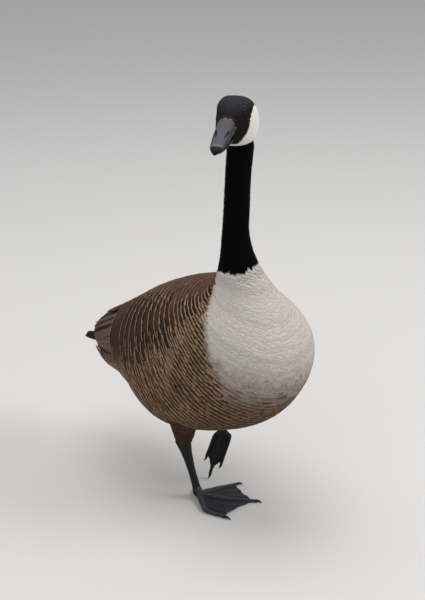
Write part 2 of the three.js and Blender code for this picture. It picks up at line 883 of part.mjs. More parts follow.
function wingCore(side) {
  const rings = [];
  const [slopeFrom, slopeTo] = WING_CORE.slope;
  for (let i = 0; i <= WING_CORE.steps; i++) {
    const position = WING_CORE.front + ((WING_CORE.rear - WING_CORE.front) * i) / WING_CORE.steps;
    const upper = lookUp(WING_UPPER, position) + WING_CORE.inset.upper;
    const lower = lookUp(WING_LOWER, position) - WING_CORE.inset.lower;
    const outer = [];
    const inner = [];
    for (let j = 0; j <= WING_CORE.across; j++) {
      const degrees = upper + ((lower - upper) * j) / WING_CORE.across;
      const depth = bedDepth(position, degrees);
      const slope = smoothstep((position - slopeFrom) / (slopeTo - slopeFrom));
      const level = WING_CORE.frontTop + (WING_CORE.top - WING_CORE.frontTop) * slope;
      const top = Math.max(level, WING_CORE.rim - depth);
      outer.push(formPointAt(position, side * degrees, top).toArray());
      inner.push(formPointAt(position, side * degrees, -depth - WING_CORE.under).toArray());
    }
    rings.push([...outer, ...inner.reverse()]);
  }
  return loft(rings);
}

function wing(side, name) {
  const jitter = seededJitter(side > 0 ? COVERT.seeds.left : COVERT.seeds.right);
  const feathers = [...covertFeathers(jitter), ...quillFeathers()];
  const whole = union([wingCore(side), ...feathers.map((feather) => wingVane(side, feather))]);
  return meshOf(name, whole.subtract(torsoClearance), FINISHES.body);
}

// Tail frame: its root is the middle of the torso's rear end.
const tailPlane = ringPlane(TORSO.rear);
const tailMatrix = new THREE.Matrix4()
  .makeTranslation(...tailPlane.centre)
  .multiply(new THREE.Matrix4().makeRotationY(radians(-TAIL.pitch)))
  .multiply(new THREE.Matrix4().makeScale(-1, 1, 1));

function inTail(point) {
  return new THREE.Vector3(...point).applyMatrix4(tailMatrix).toArray();
}

function tailBase() {
  const rings = TAIL_COVERTS.map((ring) => {
    const points = [];
    for (let j = 0; j < TAIL.baseSides; j++) {
      const turn = (2 * Math.PI * j) / TAIL.baseSides;
      const up = Math.cos(turn) > 0 ? ring.top : ring.bottom;
      const rise = up * Math.abs(Math.cos(turn)) + ring.middle;
      points.push(inTail([ring.at, ring.half * Math.sin(turn), rise]));
    }
    return points;
  });
  return loft(rings);
}

function tailVane(side, number) {
  const tip = side * TAIL.tips[number];
  const length = TAIL.length - TAIL.rounding * number;
  const level = TAIL.top - TAIL.layer * (number + (side < 0 ? 0.5 : 0));
  return vane(TAIL.width, (share, offset, height) => {
    const at = TAIL.root + (length - TAIL.root) * share;
    const middle = tip * (TAIL.rootShare + (1 - TAIL.rootShare) * share);
    return inTail([at, middle + offset, level + height]);
  });
}

function tail() {
  const vanes = [tailVane(1, 0)];
  for (let number = 1; number < TAIL.tips.length; number++) {
    vanes.push(tailVane(1, number), tailVane(-1, number));
  }
  const whole = union([tailBase(), ...vanes]);
  const solid = keepSide(
    whole,
    shifted(tailPlane.centre, tailPlane.towardsTail, GAP),
    tailPlane.towardsTail,
  );
  return meshOf("tail", solid, FINISHES.tail);
}

// Legs
// A round tube along a smooth curve through the points; the whole tube keeps one guide for its sides.
function tubeAlong(points, radii, sides, squash) {
  const curve = new THREE.CatmullRomCurve3(points.map((p) => new THREE.Vector3(...p)));
  const steps = Math.ceil(points.length * TUBE.steps);
  const chord = curve.getPoint(1).sub(curve.getPoint(0)).normalize();
  const level = Math.abs(chord.z) > TUBE.upright;
  const guide = level ? new THREE.Vector3(1, 0, 0) : new THREE.Vector3(0, 0, 1);
  const rings = [];
  for (let i = 0; i <= steps; i++) {
    const u = i / steps;
    const centre = curve.getPoint(u);
    const along = curve.getTangent(u);
    const side = new THREE.Vector3().crossVectors(guide, along).normalize();
    const up = new THREE.Vector3().crossVectors(along, side).normalize();
    const radius = splineRow(
      radii.map((r) => [r]),
      (radii.length - 1) * u,
    )[0];
    const ring = [];
    for (let j = 0; j < sides; j++) {
      const turn = (2 * Math.PI * j) / sides;
      const point = centre
        .clone()
        .addScaledVector(side, radius * Math.cos(turn))
        .addScaledVector(up, radius * squash * Math.sin(turn));
      ring.push(point.toArray());
    }
    rings.push(ring);
  }
  return loft(rings);
}

function mix(a, b, share) {
  return a.map((v, k) => v + (b[k] - v) * share);
}

// Toe path from the joint, through its middle, to the root of the claw.
function toePath(leg, toe) {
  const curve = new THREE.CatmullRomCurve3(
    [leg.joint, mix(leg.joint, toe.via, 0.5), toe.via, toe.tip].map((p) => new THREE.Vector3(...p)),
  );
  return curve.getPoints(TOE.steps).map((p) => p.toArray());
}

function aboveFloor(solid) {
  return keepSide(solid, [0, 0, 0], [0, 0, 1]);
}

// Web between two toes: a thin plate whose free edge curves in.
function web(pathA, pathB) {
  const { along, across, thickness } = WEB;
  const rows = [];
  const reach = (share) => WEB.reach - WEB.notch * Math.sin(Math.PI * share);
  const curveA = new THREE.CatmullRomCurve3(pathA.map((p) => new THREE.Vector3(...p)));
  const curveB = new THREE.CatmullRomCurve3(pathB.map((p) => new THREE.Vector3(...p)));
  for (let i = 0; i <= along; i++) {
    const row = [];
    for (let j = 0; j <= across; j++) {
      const share = j / across;
      const u = WEB.root + (reach(share) - WEB.root) * (i / along);
      row.push(curveA.getPoint(u).lerp(curveB.getPoint(u), share));
    }
    rows.push(row);
  }
  const middle = rows[along][across / 2].clone().sub(rows[0][across / 2]);
  const over = rows[along][across].clone().sub(rows[along][0]);
  const normal = new THREE.Vector3().crossVectors(middle, over).normalize();
  const vertices = [];
  for (const offset of [thickness / 2, -thickness / 2]) {
    for (const row of rows) {
      for (const point of row) {
        vertices.push(point.clone().addScaledVector(normal, offset).toArray());
      }
    }
  }
  const width = across + 1;
  const layer = (along + 1) * width;
  const triangles = [];
  for (let i = 0; i < along; i++) {
    for (let j = 0; j < across; j++) {
      const a = i * width + j;
      triangles.push([a, a + 1, a + width + 1], [a, a + width + 1, a + width]);
      triangles.push([layer + a, layer + a + width + 1, layer + a + 1]);
      triangles.push([layer + a, layer + a + width, layer + a + width + 1]);
    }
  }
  const rim = [];
  for (let j = 0; j < across; j++) {
    rim.push(j);
  }
  for (let i = 0; i < along; i++) {
    rim.push(i * width + across);
  }
  for (let j = across; j > 0; j--) {
    rim.push(along * width + j);
  }
  for (let i = along; i > 0; i--) {
    rim.push(i * width);
  }
  rim.forEach((a, k) => {
    const b = rim[(k + 1) % rim.length];
    triangles.push([a, layer + b, b], [a, layer + a, layer + b]);
  });
  return solidFrom(vertices, triangles);
}

// A plane across the leg at a distance from the toe joint towards the ankle.
function legCut(leg, distance) {
  const up = new THREE.Vector3(...leg.ankle).sub(new THREE.Vector3(...leg.joint)).normalize().toArray();
  return { point: shifted(leg.joint, up, distance), up };
}

function clawCut(leg, toe) {
  const path = toePath(leg, toe);
  const end = new THREE.Vector3(...path[path.length - 1]);
  const run = end.clone().sub(new THREE.Vector3(...path[path.length - 2])).normalize();
  return { point: end.toArray(), run: run.toArray() };
}

function foot(leg, name) {
  const paths = leg.toes.map((toe) => toePath(leg, toe));
  const radii = [...TOE.swell.map((share) => TOE.root * share), TOE.tip, TOE.tip * TOE.taper];
  const pieces = paths.map((path) => tubeAlong(path, radii, TOE.sides, TOE.squash));
  pieces.push(web(paths[0], paths[1]));
  pieces.push(web(paths[1], paths[2]));
  const knuckle = new THREE.SphereGeometry(KNUCKLE.radius, KNUCKLE.sides, KNUCKLE.bands);
  knuckle.scale(1, 1, KNUCKLE.height);
  knuckle.translate(...leg.joint);
  pieces.push(solidOfGeometry(knuckle));
  const back = mix(leg.joint, leg.hind.tip, 0.5);
  const hindRadii = [KNUCKLE.hindRoot, leg.hind.radius, KNUCKLE.hindTip];
  pieces.push(tubeAlong([leg.joint, back, leg.hind.tip], hindRadii, TOE.sides, 1));
  const cut = legCut(leg, leg.footEnd);
  const stem = [leg.joint, mix(leg.joint, leg.ankle, KNUCKLE.stemShare)];
  pieces.push(tubeAlong(stem, KNUCKLE.stem, KNUCKLE.sides, KNUCKLE.squash));
  let solid = union(pieces);
  const down = cut.up.map((v) => -v);
  solid = keepSide(solid, shifted(cut.point, down, GAP / 2), down);
  return meshOf(name, aboveFloor(solid), FINISHES.leg);
}

function claw(leg, toe, name) {
  const cut = clawCut(leg, toe);
  const start = shifted(cut.point, cut.run, CLAW.gap);
  const middle = shifted(shifted(cut.point, cut.run, CLAW.length / 2), leg.clawDown, -CLAW.arch);
  const tip = shifted(shifted(cut.point, cut.run, CLAW.length), leg.clawDown, CLAW.drop);
  const radii = CLAW.radii.map((share) => TOE.tip * share);
  const solid = tubeAlong([start, middle, tip], radii, CLAW.sides, CLAW.squash);
  return meshOf(name, aboveFloor(solid), FINISHES.claw);
}

function shank(leg, name) {
  const low = legCut(leg, leg.footEnd);
  const high = legCut(leg, leg.thighEnd);
  const top = shifted(leg.ankle, low.up, SHANK.beyondAnkle);
  const points = SHANK.shares.map((share) => mix(leg.joint, top, share));
  const down = low.up.map((v) => -v);
  let solid = tubeAlong(points, leg.shankRadii, SHANK.sides, SHANK.squash);
  solid = keepSide(solid, shifted(low.point, low.up, GAP / 2), low.up);
  solid = keepSide(solid, shifted(high.point, down, GAP / 2), down);
  return meshOf(name, solid, FINISHES.leg);
}

// The feathered thigh, from just above the ankle up into the belly.
function thigh(leg, name) {
  const cut = legCut(leg, leg.thighEnd);
  const end = shifted(cut.point, cut.up, -THIGH.overlap);
  const bends = THIGH.bend.map((share) => mix(end, leg.thighTop, share));
  const points = [end, ...bends, leg.thighTop];
  let solid = tubeAlong(points, THIGH.radii, THIGH.sides, THIGH.squash);
  solid = keepSide(solid, shifted(cut.point, cut.up, GAP / 2), cut.up);
  return meshOf(name, solid.subtract(torsoClearance), FINISHES.thigh);
}

// The whole bird
const goose = new THREE.Group();
const bird = new THREE.Group();
bird.rotation.z = -Math.PI / 2;
bird.position.set(FRAME_SHIFT.x, FRAME_SHIFT.y, 0);
goose.add(bird);

bird.add(head(), upperBill(), lowerBill(), eye(1, "eye_left"), eye(-1, "eye_right"));
bird.add(neck(), torso(), wing(1, "wing_left"), wing(-1, "wing_right"), tail());
for (const [leg, side] of [
  [LEFT_LEG, "left"],
  [RIGHT_LEG, "right"],
]) {
  bird.add(thigh(leg, "thigh_" + side), shank(leg, "shank_" + side), foot(leg, "foot_" + side));
  for (const toe of leg.toes) {
    bird.add(claw(leg, toe, "claw_" + side + "_" + toe.name));
  }
}

export default goose;
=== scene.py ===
import math

import bpy
import numpy as np
from bpy.props import FloatProperty, FloatVectorProperty, IntProperty, PointerProperty
from bpy.types import Operator, Panel, PropertyGroup
from mathutils.kdtree import KDTree
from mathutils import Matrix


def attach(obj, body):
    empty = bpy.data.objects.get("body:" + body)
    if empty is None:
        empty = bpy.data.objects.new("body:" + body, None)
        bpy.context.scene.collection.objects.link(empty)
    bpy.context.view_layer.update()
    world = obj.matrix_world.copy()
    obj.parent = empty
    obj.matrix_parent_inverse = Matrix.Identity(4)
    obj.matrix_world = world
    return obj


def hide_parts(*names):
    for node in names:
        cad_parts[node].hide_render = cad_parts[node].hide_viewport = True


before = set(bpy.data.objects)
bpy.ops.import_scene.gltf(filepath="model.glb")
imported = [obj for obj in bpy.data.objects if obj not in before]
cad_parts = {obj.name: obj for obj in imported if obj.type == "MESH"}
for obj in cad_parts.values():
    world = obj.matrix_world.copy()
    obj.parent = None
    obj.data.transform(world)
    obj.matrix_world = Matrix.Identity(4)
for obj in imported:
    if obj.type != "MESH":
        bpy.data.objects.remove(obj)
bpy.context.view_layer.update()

bl_info = {
    "name": "Canada goose",
    "version": (1, 0, 0),
    "blender": (4, 5, 0),
    "location": "3D View > Sidebar > Goose",
    "description": "A life-size Canada goose in mid stride, feather by feather",
    "category": "Object",
}

# Driving sizes of the bird, in millimetres and degrees. In the bird's own frame x points forward,
# y to the bird's left and z up, and the neck rises from x = 0.
FRAME_SHIFT = -151.5
MM = 0.001
SIDES = ((1, "left"), (-1, "right"))
ROUNDNESS = 2.15
SKULL_ROUNDNESS = 2.65
CHEEKS = 0.1

# Rings of the body from the neck to the tail: back x, back z, belly x, belly z and half width.
BODY_RINGS = np.array([
    [-19, 650, 22, 650, 22.5],
    [-22, 588, 18, 588, 20],
    [-26, 525, 15, 526, 20],
    [-31, 470, 16, 474, 21],
    [-33, 430, 40, 425, 30],
    [-38, 404, 93, 367, 53],
    [-57, 391, 133, 305, 89],
    [-90, 387, 112, 233, 108],
    [-135, 371, 44, 166, 114],
    [-188, 345, -102, 112, 110],
    [-242, 312, -187, 134, 89],
    [-298, 279, -250, 147, 70],
    [-347, 251, -308, 147, 54],
    [-379, 222, -356, 155, 35],
    [-406, 207, -396, 152, 29],
    [-438, 193, -430, 150, 22],
], float)
NECK_LEAN = {"from": 560.0, "over": 90.0, "x": 11.5, "y": -7.2}

# Places among these rings between which the skin and the rows of each coat run.
REACH = {
    "skin": (0.3, 13.1), "neck": (0.5, 4.45), "breast": (4.0, 7.6), "flank": (4.9, 7.6), "rear": (7.6, 13.2),
    "mantle": (4.25, 12.9),
}
COVERT_ROWS = np.concatenate([np.linspace(5.3, 6.86, 10), np.linspace(7.04, 9.2, 10), [9.6, 10.5]])

# Upper and lower edge of the folded wing in degrees from the ridge of the back, ring by ring.
WING_UPPER = np.array([[7, 34], [8, 22], [9, 13], [10, 7], [11, 4.5], [15, 4.5]], float)
WING_LOWER = np.array([
    [7, 70], [8, 78], [9, 84], [10, 93], [11, 105], [12, 112], [13, 108], [15, 90],
], float)
WING = {"front": 7.2, "corner": 7.3, "whole_from": 10.5, "shoulder": 40.0, "soft": 12}
# Ring where the white of the breast ends, by the angle from the back.
BREAST_EDGE = np.array([
    [0, 4.2], [35, 4.35], [50, 4.6], [60, 5.0], [80, 5.95], [100, 6.56], [120, 6.78], [140, 6.76],
    [180, 6.62],
])
NECK_EDGE = {"ring": 4.07, "slant": 0.21, "turned": 30}
# Places where feathers lie parted: ring, angle and half sizes of a patch in rings and degrees.
PARTED = ((7.6, 81, 0.11, 3.5), (8.0, 104, 0.08, 5.0), (8.22, 112, 0.06, 4.0))

HEAD = {"middle": (16.5, -26.2, 678.8), "heading": -55.0, "pitch": 8.0, "roll": -1.5, "throat": 56}
# Rings of the skull from the nape to the brow: place along the head, top, bottom and half width.
SKULL_RINGS = np.array([
    [-47, -8, -28, 10],
    [-44, 1, -39, 20.5],
    [-36, 10.5, -49, 29],
    [-22, 17, -58, 31.5],
    [-8, 18.5, -57.5, 30],
    [5, 17.5, -52.5, 26.2],
    [17, 14.5, -44.5, 22],
    [29, 10, -38.5, 18.3],
    [40, 4.6, -33.5, 15],
    [50, 0, -32, 14],
], float)
# Front and rear edge of the white cheek: places along the head at heights down from its middle.
CHEEK_FRONT = np.array([
    [-6, -24], [-3, -18], [1, -6], [11, 1], [19, 5], [28, 12], [32, 17], [38, 19], [48, 12], [60, 5],
])
CHEEK_BACK = np.array([[-6, -25], [0, -33], [12, -42], [30, -42], [45, -36], [60, -18]])
EYE = {"at": 8.0, "side": 13.2, "up": 3.0, "radius": 7.6, "opening": 5.8, "ahead": 0.34, "lift": 0.16}
LID = {"width": 1.3, "height": 1.1, "gap": 0.6, "upper": 0.45, "turns": 72, "sides": 16}

BILL = {"root_at": 42.0, "mouth": -24.0, "nail_at": 95.0, "rings": 120, "sides": 120}
UPPER_BILL_RINGS = np.array([
    [28, 7, -23.6, 14.6],
    [42, 3.4, -23.4, 13.8],
    [55, -2.6, -23, 13.3],
    [68, -8.4, -23, 13],
    [80, -12.8, -23.6, 11.7],
    [91, -16.2, -24.4, 10.4],
    [98, -18.4, -26, 8.3],
    [103, -21, -27.6, 4.8],
    [105, -23.6, -28, 2.4],
], float)
LOWER_BILL_RINGS = np.array([
    [26, -24.2, -31.6, 12.6],
    [42, -24, -31.4, 12],
    [60, -23.6, -30.4, 11.2],
    [78, -24.2, -30, 10],
    [90, -25.2, -29.8, 7.8],
    [95, -26.8, -29.8, 4.6],
], float)
# Rings, roundness, and the stretch of its rings that each half takes up.
BILL_HALVES = {
    "upper": (UPPER_BILL_RINGS, 2.5, (0.9, 8.0)),
    "lower": (LOWER_BILL_RINGS, 2.3, (0.7, 5.0)),
}
NOSTRIL = {
    "at": 67.5, "out": 8.4, "above": -16.0, "length": 13.5, "width": 2.6, "tilt": 14.0, "depth": 2.6,
    "lip": 0.35,
}

TAIL_ROOT = {"ring": 13.0, "pitch": 8.0}
# Rings of the flesh at the root of the tail: distance behind the root, middle, top, bottom, half width.
TAIL_RINGS = np.array([
    [-12, -3, 17, -28, 18],
    [2, -3, 15, -26, 19],
    [14, -2, 11, -19, 18],
    [26, -2, 6, -11, 16],
    [38, -2, 1, -4, 10],
], float)
TAIL_FAN = {"count": 16, "spread": 11.0, "reach": 70, "shorter": 1.1, "lower": 0.5, "overlap": 0.15}

THIGH_SHARES = (0, 0.3, 0.65, 1)
THIGH_RADII = (12.0, 19.0, 25.5, 29.5)
RIGHT_LEG = {
    "side": "right",
    "thigh_top": (-74, -54, 172),
    "ankle": (-81, -47, 92),
    "joint": (-58, -37, 8),
    "foot_end": 11,
    "thigh_end": 95,
    "shank_radii": (7.8, 6.8, 7.1, 9.6, 14.8),
    "hind_tip": (-84, -28, 0.9),
    "hind_radius": 3.2,
    "claws_point": (0, 0, -1.0),
    "toes": (
        ("inner", (-58, 5, 3.6), (-50, 40, 3)),
        ("middle", (-21, -6, 3.6), (14, 27, 3)),
        ("outer", (-12, -57, 3.6), (22, -46, 3)),
    ),
}
LEFT_LEG = {
    "side": "left",
    "thigh_top": (-100, 50, 172),
    "ankle": (-95, 47, 140),
    "joint": (-81, 36, 99),
    "foot_end": 8,
    "thigh_end": 15,
    "shank_radii": (7.8, 7, 6.8, 7, 7.4),
    "hind_tip": (-102, 43, 90),
    "hind_radius": 3.0,
    "claws_point": (-1.0, 0, -0.2),
    "toes": (
        ("inner", (-90, 25, 84), (-103, 18, 45)),
        ("middle", (-87, 27, 60), (-96, 20, 13)),
        ("outer", (-73, 43, 82), (-84, 35, 32)),
    ),
}
TOE = {"root": 5.4, "tip": 3.4, "squash": 0.85, "claw": 13.0, "claw_tip": 0.6, "claw_bend": 2.4}
TOE_BULGES = (1, 0.86, 0.95, 0.74, 0.8)
WEB = {"root": 0.03, "reach": 0.985, "notch": 0.03, "thickness": 1.7, "sag": 0.5, "folds": 0.9}
# No vertex of the feet lies lower than this above the floor, in millimetres.
LOWEST = 0.05
# Size of the even faces of the remeshed pieces, in metres.
VOXEL = {"skin": 0.003, "foot": 0.0008}

# Millimetres between the feathers of a row, and how far they stray as a share of that.
ROWS = {
    "breast": (4.2, 0.3), "flank": (12.0, 0.12), "mantle": (11.0, 0.2), "covert": (15.0, 0.08),
    "tail": (7.0, 0.2), "neck": (4.2, 0.3), "head": (2.9, 0.3), "thigh": (4.5, 0.3),
}
# Sizes of the feathers of each coat: a number, or a middle and its random spread.
FEATHERS = {
    "breast": {
        "length": (20.0, 2.0), "width": (10.0, 1.0), "turn": (0.0, 4.0), "tip": (0.0, 0.04),
        "camber": (0.07, 0.03), "curl": (0.0, 0.02),
    },
    "flank": {
        "length": (34.0, 2.0), "width": (27.0, 2.0), "turn": (0.0, 2.5), "tip": (0.1, 0.12),
        "camber": (0.3, 0.1), "curl": (0.0, 0.1),
    },
    "mantle": {
        "length": (34.0, 2.0), "width": (25.0, 2.0), "turn": (0.0, 4.0), "root": -4.4, "tip": (0.3, 0.15),
        "camber": (0.4, 0.1), "curl": (0.0, 0.12),
    },
    "covert": {"turn": (0.0, 1.2), "tip": (0.25, 0.1), "camber": (0.6, 0.1), "curl": (0.0, 0.12)},
    "tail": {
        "length": (22.0, 2.0), "width": (13.0, 1.0), "turn": (0.0, 5.0), "root": -2.2, "tip": (0.2, 0.3),
        "camber": (0.4, 0.2),
    },
    "neck": {
        "length": (13.0, 2.5), "width": (6.5, 0.8), "turn": (0.0, 8.0), "root": -3.2, "tip": (0.1, 0.3),
        "camber": (0.35, 0.1), "curl": (0.1, 0.25),
    },
    "thigh": {
        "length": (12.0, 1.5), "width": (6.5, 0.8), "turn": (0.0, 7.0), "root": -2.4, "tip": (0.1, 0.4),
        "camber": (0.4, 0.1), "curl": (0.1, 0.3),
    },
}
# Tiers of wing quills: the first and last tip's ring, angle and height, and the sizes they share.
TIERS = {
    "secondaries": {
        "count": 11, "rings": (13.0, 13.1), "angles": (110, 46), "heights": (-6.5, -3.5), "root": -9.5,
        "length": 140, "width": 17, "lean": 0.12,
    },
    "tertials": {
        "count": 4, "rings": (12.65, 13.25), "angles": (62, 17), "heights": (-1.6, 0.8), "root": -8.5,
        "length": 112, "width": 30, "lean": 0.14,
    },
    "primaries": {
        "count": 5, "rings": (13.95, 13.3), "angles": (16, 44), "heights": (-7.0, -9.5), "root": -10.5,
        "length": 100, "width": 14, "lean": 0.05,
    },
}
# Outline of each kind of vane: shares of its length from root to tip, and of its half width there.
VANE_LINES = {
    "body": ((0, 0.3, 0.6, 0.82, 0.93, 1), (0.4, 0.85, 1, 0.93, 0.74, 0.3)),
    "broad": ((0, 0.3, 0.6, 0.86, 0.95, 0.985, 1), (0.4, 0.85, 1, 0.98, 0.92, 0.78, 0.55)),
    "tuft": ((0, 0.4, 0.8, 1), (0.6, 1, 0.75, 0.12)),
    "soft": ((0, 0.4, 0.78, 0.93, 1), (0.6, 1, 0.86, 0.5, 0.12)),
    "quill": (
        (0, 0.12, 0.3, 0.5, 0.68, 0.8, 0.9, 0.96, 0.99, 1),
        (0.3, 0.62, 0.88, 1, 1, 0.95, 0.82, 0.6, 0.34, 0.12),
    ),
}
# Where each form's unwrap lies on the map: u from and to, then left, bottom, width and height.
ATLAS = {
    "body": (0.0, 15.0, 0.0, 0.0, 0.8, 1.0),
    "tail": (0.0, 5.0, 0.8, 0.0, 0.2, 1.0),
    "fan": (0.0, 100.0, 0.0, 0.0, 1.0, 1.0),
    "head": (0.0, 9.0, 0.0, 0.0, 1.0, 1.0),
    "left": (0.0, 1.0, 0.8, 0.0, 0.1, 1.0),
    "right": (0.0, 1.0, 0.9, 0.0, 0.1, 1.0),
}
PATCH = 0.003
# What each group of random draws adds to the seed.
DRAWS = {
    "breast": 1, "flanks": 2, "mantle": 3, "neck": 4, "head": 5, "thighs": 6, "skin": 9, "coverts": 20,
    "quills": 40, "primaries": 50, "fan": 60, "tail": 61,
}
# Colours of the dark web, web and fringe of each feather material, the width of its fringe in
# millimetres, and what else differs from FEATHER_DEFAULTS.
# Each look: roughness, worn (the strength of the reddish wear) and the strength of the painted shade and
# random tone on white feathers.
FEATHER_DEFAULTS = {"roughness": 0.8, "worn": 1.0, "white_shading": 0.3}
FEATHER_LOOKS = {
    "contour_feathers": ("flank_dark", "flank", "flank_pale", 1.35, {}),
    "breast_feathers": ("flank_dark", "flank", "flank_pale", 1.3, {"white_shading": 0.45}),
    "mantle_feathers": ("mantle_dark", "mantle", "mantle_pale", 1.3, {}),
    "covert_feathers": ("wing_dark", "wing", "wing_pale", 1.25, {"worn": 0.7}),
    "wing_quills": ("wing", "quill", "quill_edge", 1.6, {"roughness": 0.7}),
    "wing_tips": ("quill_black", "quill_black", "wing_dark", 1.0, {"roughness": 0.6, "worn": 0.0}),
    "tail_quills": ("quill_black", "quill_black", "quill_black", 1.0, {"roughness": 0.6, "worn": 0.0}),
    "thigh_down": ("wing_dark", "thigh", "flank_pale", 0.7, {}),
}
LAMPS = {
    # Place and width in metres, and share of the key's power.
    "key": ((2.2, -2.3, 2.8), 2.2, 1.0),
    "fill": ((-2.6, -1.4, 2.4), 2.6, 0.22),
    "top": ((0, 0.4, 3.2), 2.6, 0.68),
}
LAMPS_AIM = (0, 0, 0.35)
FLOOR_SIZE = 6.0


# Small helpers


def ease(value):
    """Rises from 0 to 1 with level ends while value goes from 0 to 1."""
    x = np.clip(value, 0, 1)
    return x * x * (3 - 2 * x)


def between(pair, share):
    return pair[0] + (pair[1] - pair[0]) * share


def look_up(table, value):
    return np.interp(value, table[:, 0], table[:, 1])


def cos_of(degrees):
    return np.cos(np.radians(degrees))


def sin_of(degrees):
    return np.sin(np.radians(degrees))


def unit(vectors):
    return vectors / np.maximum(np.linalg.norm(vectors, axis=-1, keepdims=True), 1e-9)


def spline_rows(rows, position):
    """Catmull-Rom values through the rows at an array of positions, the ends carried on straight."""
    rows = np.vstack([2 * rows[0] - rows[1], rows, 2 * rows[-1] - rows[-2]])
    i = np.clip(np.floor(position).astype(int), 0, len(rows) - 4)
    u = (position - i)[..., None]
    a, b, c, d = (rows[i + k] for k in range(4))
    cube = 3 * b - a - 3 * c + d
    square = 2 * a - 5 * b + 4 * c - d
    return 0.5 * (2 * b + u * (c - a + u * (square + u * cube)))


def superellipse(v, roundness):
    """Height and width, from -1 to 1, of a superellipse at an angle from its top."""
    return tuple(np.sign(x) * np.abs(x) ** (2 / roundness) for x in (cos_of(v), sin_of(v)))


def turn_matrix(axis, degrees):
    """Rotation by an angle about x, y or z."""
    c, s = cos_of(degrees), sin_of(degrees)
    rows = {
        "x": [[1, 0, 0], [0, c, -s], [0, s, c]],
        "y": [[c, 0, s], [0, 1, 0], [-s, 0, c]],
        "z": [[c, -s, 0], [s, c, 0], [0, 0, 1]],
    }
    return np.array(rows[axis])


HEAD_TURN = (
    turn_matrix("z", HEAD["heading"]) @ turn_matrix("y", HEAD["pitch"]) @ turn_matrix("x", HEAD["roll"])
)


def in_head(points):
    """Points of the head's frame (ahead, left, up) in the bird's frame."""
    return np.asarray(points, float) @ HEAD_TURN.T + np.array(HEAD["middle"])


def to_head(points):
    return (np.asarray(points, float) - np.array(HEAD["middle"])) @ HEAD_TURN


def to_row(points):
    """Points of the bird's frame in millimetres, in metres in the shared frame."""
    points = np.asarray(points, float)
    return np.stack([points[..., 1], FRAME_SHIFT - points[..., 0], points[..., 2]], -1) * MM


def from_row(points):
    """The way back from the shared frame to the bird's own."""
    points = np.asarray(points, float) / MM
    return np.stack([FRAME_SHIFT - points[..., 1], points[..., 0], points[..., 2]], -1)


# Forms: surfaces of two parameters that carry skin and feathers


class Form:
    """A surface point(u, v): u runs along it and v goes round it in degrees, 0 at the top and
    positive on the left. Slopes come from small steps, and the normal is turned outwards."""

    STEP = (0.02, 1.0)

    def __init__(self, point, probe, centre):
        self.point = point
        self.outward = 1.0
        probe = [np.array(value) for value in probe]
        if np.dot(self.slopes(*probe)[2], self.point(*probe) - np.array(centre)) < 0:
            self.outward = -1.0

    def slopes(self, u, v):
        """Along and round vectors for one unit of u and one degree of v, and the outward normal."""
        du, dv = self.STEP
        along = (self.point(u + du, v) - self.point(u - du, v)) / (2 * du)
        around = (self.point(u, v + dv) - self.point(u, v - dv)) / (2 * dv)
        return along, around, unit(np.cross(around, along)) * self.outward

    def raised(self, u, v, height):
        """The point lifted by a height along the outward normal."""
        return self.point(u, v) + self.slopes(u, v)[2] * np.asarray(height)[..., None]

    def run(self, u, v, which):
        """Distance travelled through a line of places, along (0) or round (1) the form."""
        pace = np.linalg.norm(self.slopes(u, v)[which], axis=-1)
        steps = np.abs(np.diff((u, v)[which]))
        return np.concatenate([[0], np.cumsum((pace[1:] + pace[:-1]) / 2 * steps)])


def body_point(u, v):
    """A superellipse between the back and belly lines of the rings, leaning with the top of the neck."""
    back_x, back_z, belly_x, belly_z, half = np.moveaxis(spline_rows(BODY_RINGS, u), -1, 0)
    up, side = superellipse(v, ROUNDNESS)
    x = (back_x + belly_x) / 2 + (back_x - belly_x) / 2 * up
    z = (back_z + belly_z) / 2 + (back_z - belly_z) / 2 * up
    lean = ease((z - NECK_LEAN["from"]) / NECK_LEAN["over"])
    return np.stack([x + NECK_LEAN["x"] * lean, half * side + NECK_LEAN["y"] * lean, z], -1)


def head_ring_point(rings, roundness, cheeks=0.0):
    """A maker of surfaces across the head's axis: superellipses between a top and a bottom line, wider
    by the share cheeks below their middle and narrower above it."""

    def point(u, v):
        at, top, bottom, half = np.moveaxis(spline_rows(rings, u), -1, 0)
        up, side = superellipse(v, roundness)
        width = half * side * (1 - cheeks * up)
        return in_head(np.stack([at, width, (top + bottom) / 2 + (top - bottom) / 2 * up], -1))

    return point


def tail_frame():
    """The middle of the torso's rear end, and the tail's axes: behind, left and up, as columns."""
    back_x, back_z, belly_x, belly_z, _ = spline_rows(BODY_RINGS, np.array(TAIL_ROOT["ring"]))
    origin = np.array([(back_x + belly_x) / 2, 0, (back_z + belly_z) / 2])
    c, s = cos_of(TAIL_ROOT["pitch"]), sin_of(TAIL_ROOT["pitch"])
    return origin, np.array([[-c, 0, -s], [0, 1, 0], [-s, 0, c]]).T


TAIL_ORIGIN, TAIL_AXES = tail_frame()


def in_tail(points):
    return np.asarray(points, float) @ TAIL_AXES.T + TAIL_ORIGIN


def tail_point(u, v):
    """Half ellipses of their own height above and below the tail's middle line."""
    at, middle, top, bottom, half = np.moveaxis(spline_rows(TAIL_RINGS, u), -1, 0)
    c, s = cos_of(v), sin_of(v)
    rise = np.where(c > 0, top, bottom) * np.abs(c)
    return in_tail(np.stack([at, half * s, rise + middle], -1))


def fan_point(u, v):
    """The flat sheet of the tail: u millimetres behind its root and v millimetres to the left."""
    u, v = np.broadcast_arrays(np.asarray(u, float), np.asarray(v, float))
    return in_tail(np.stack([u, v, 0 * u], -1))


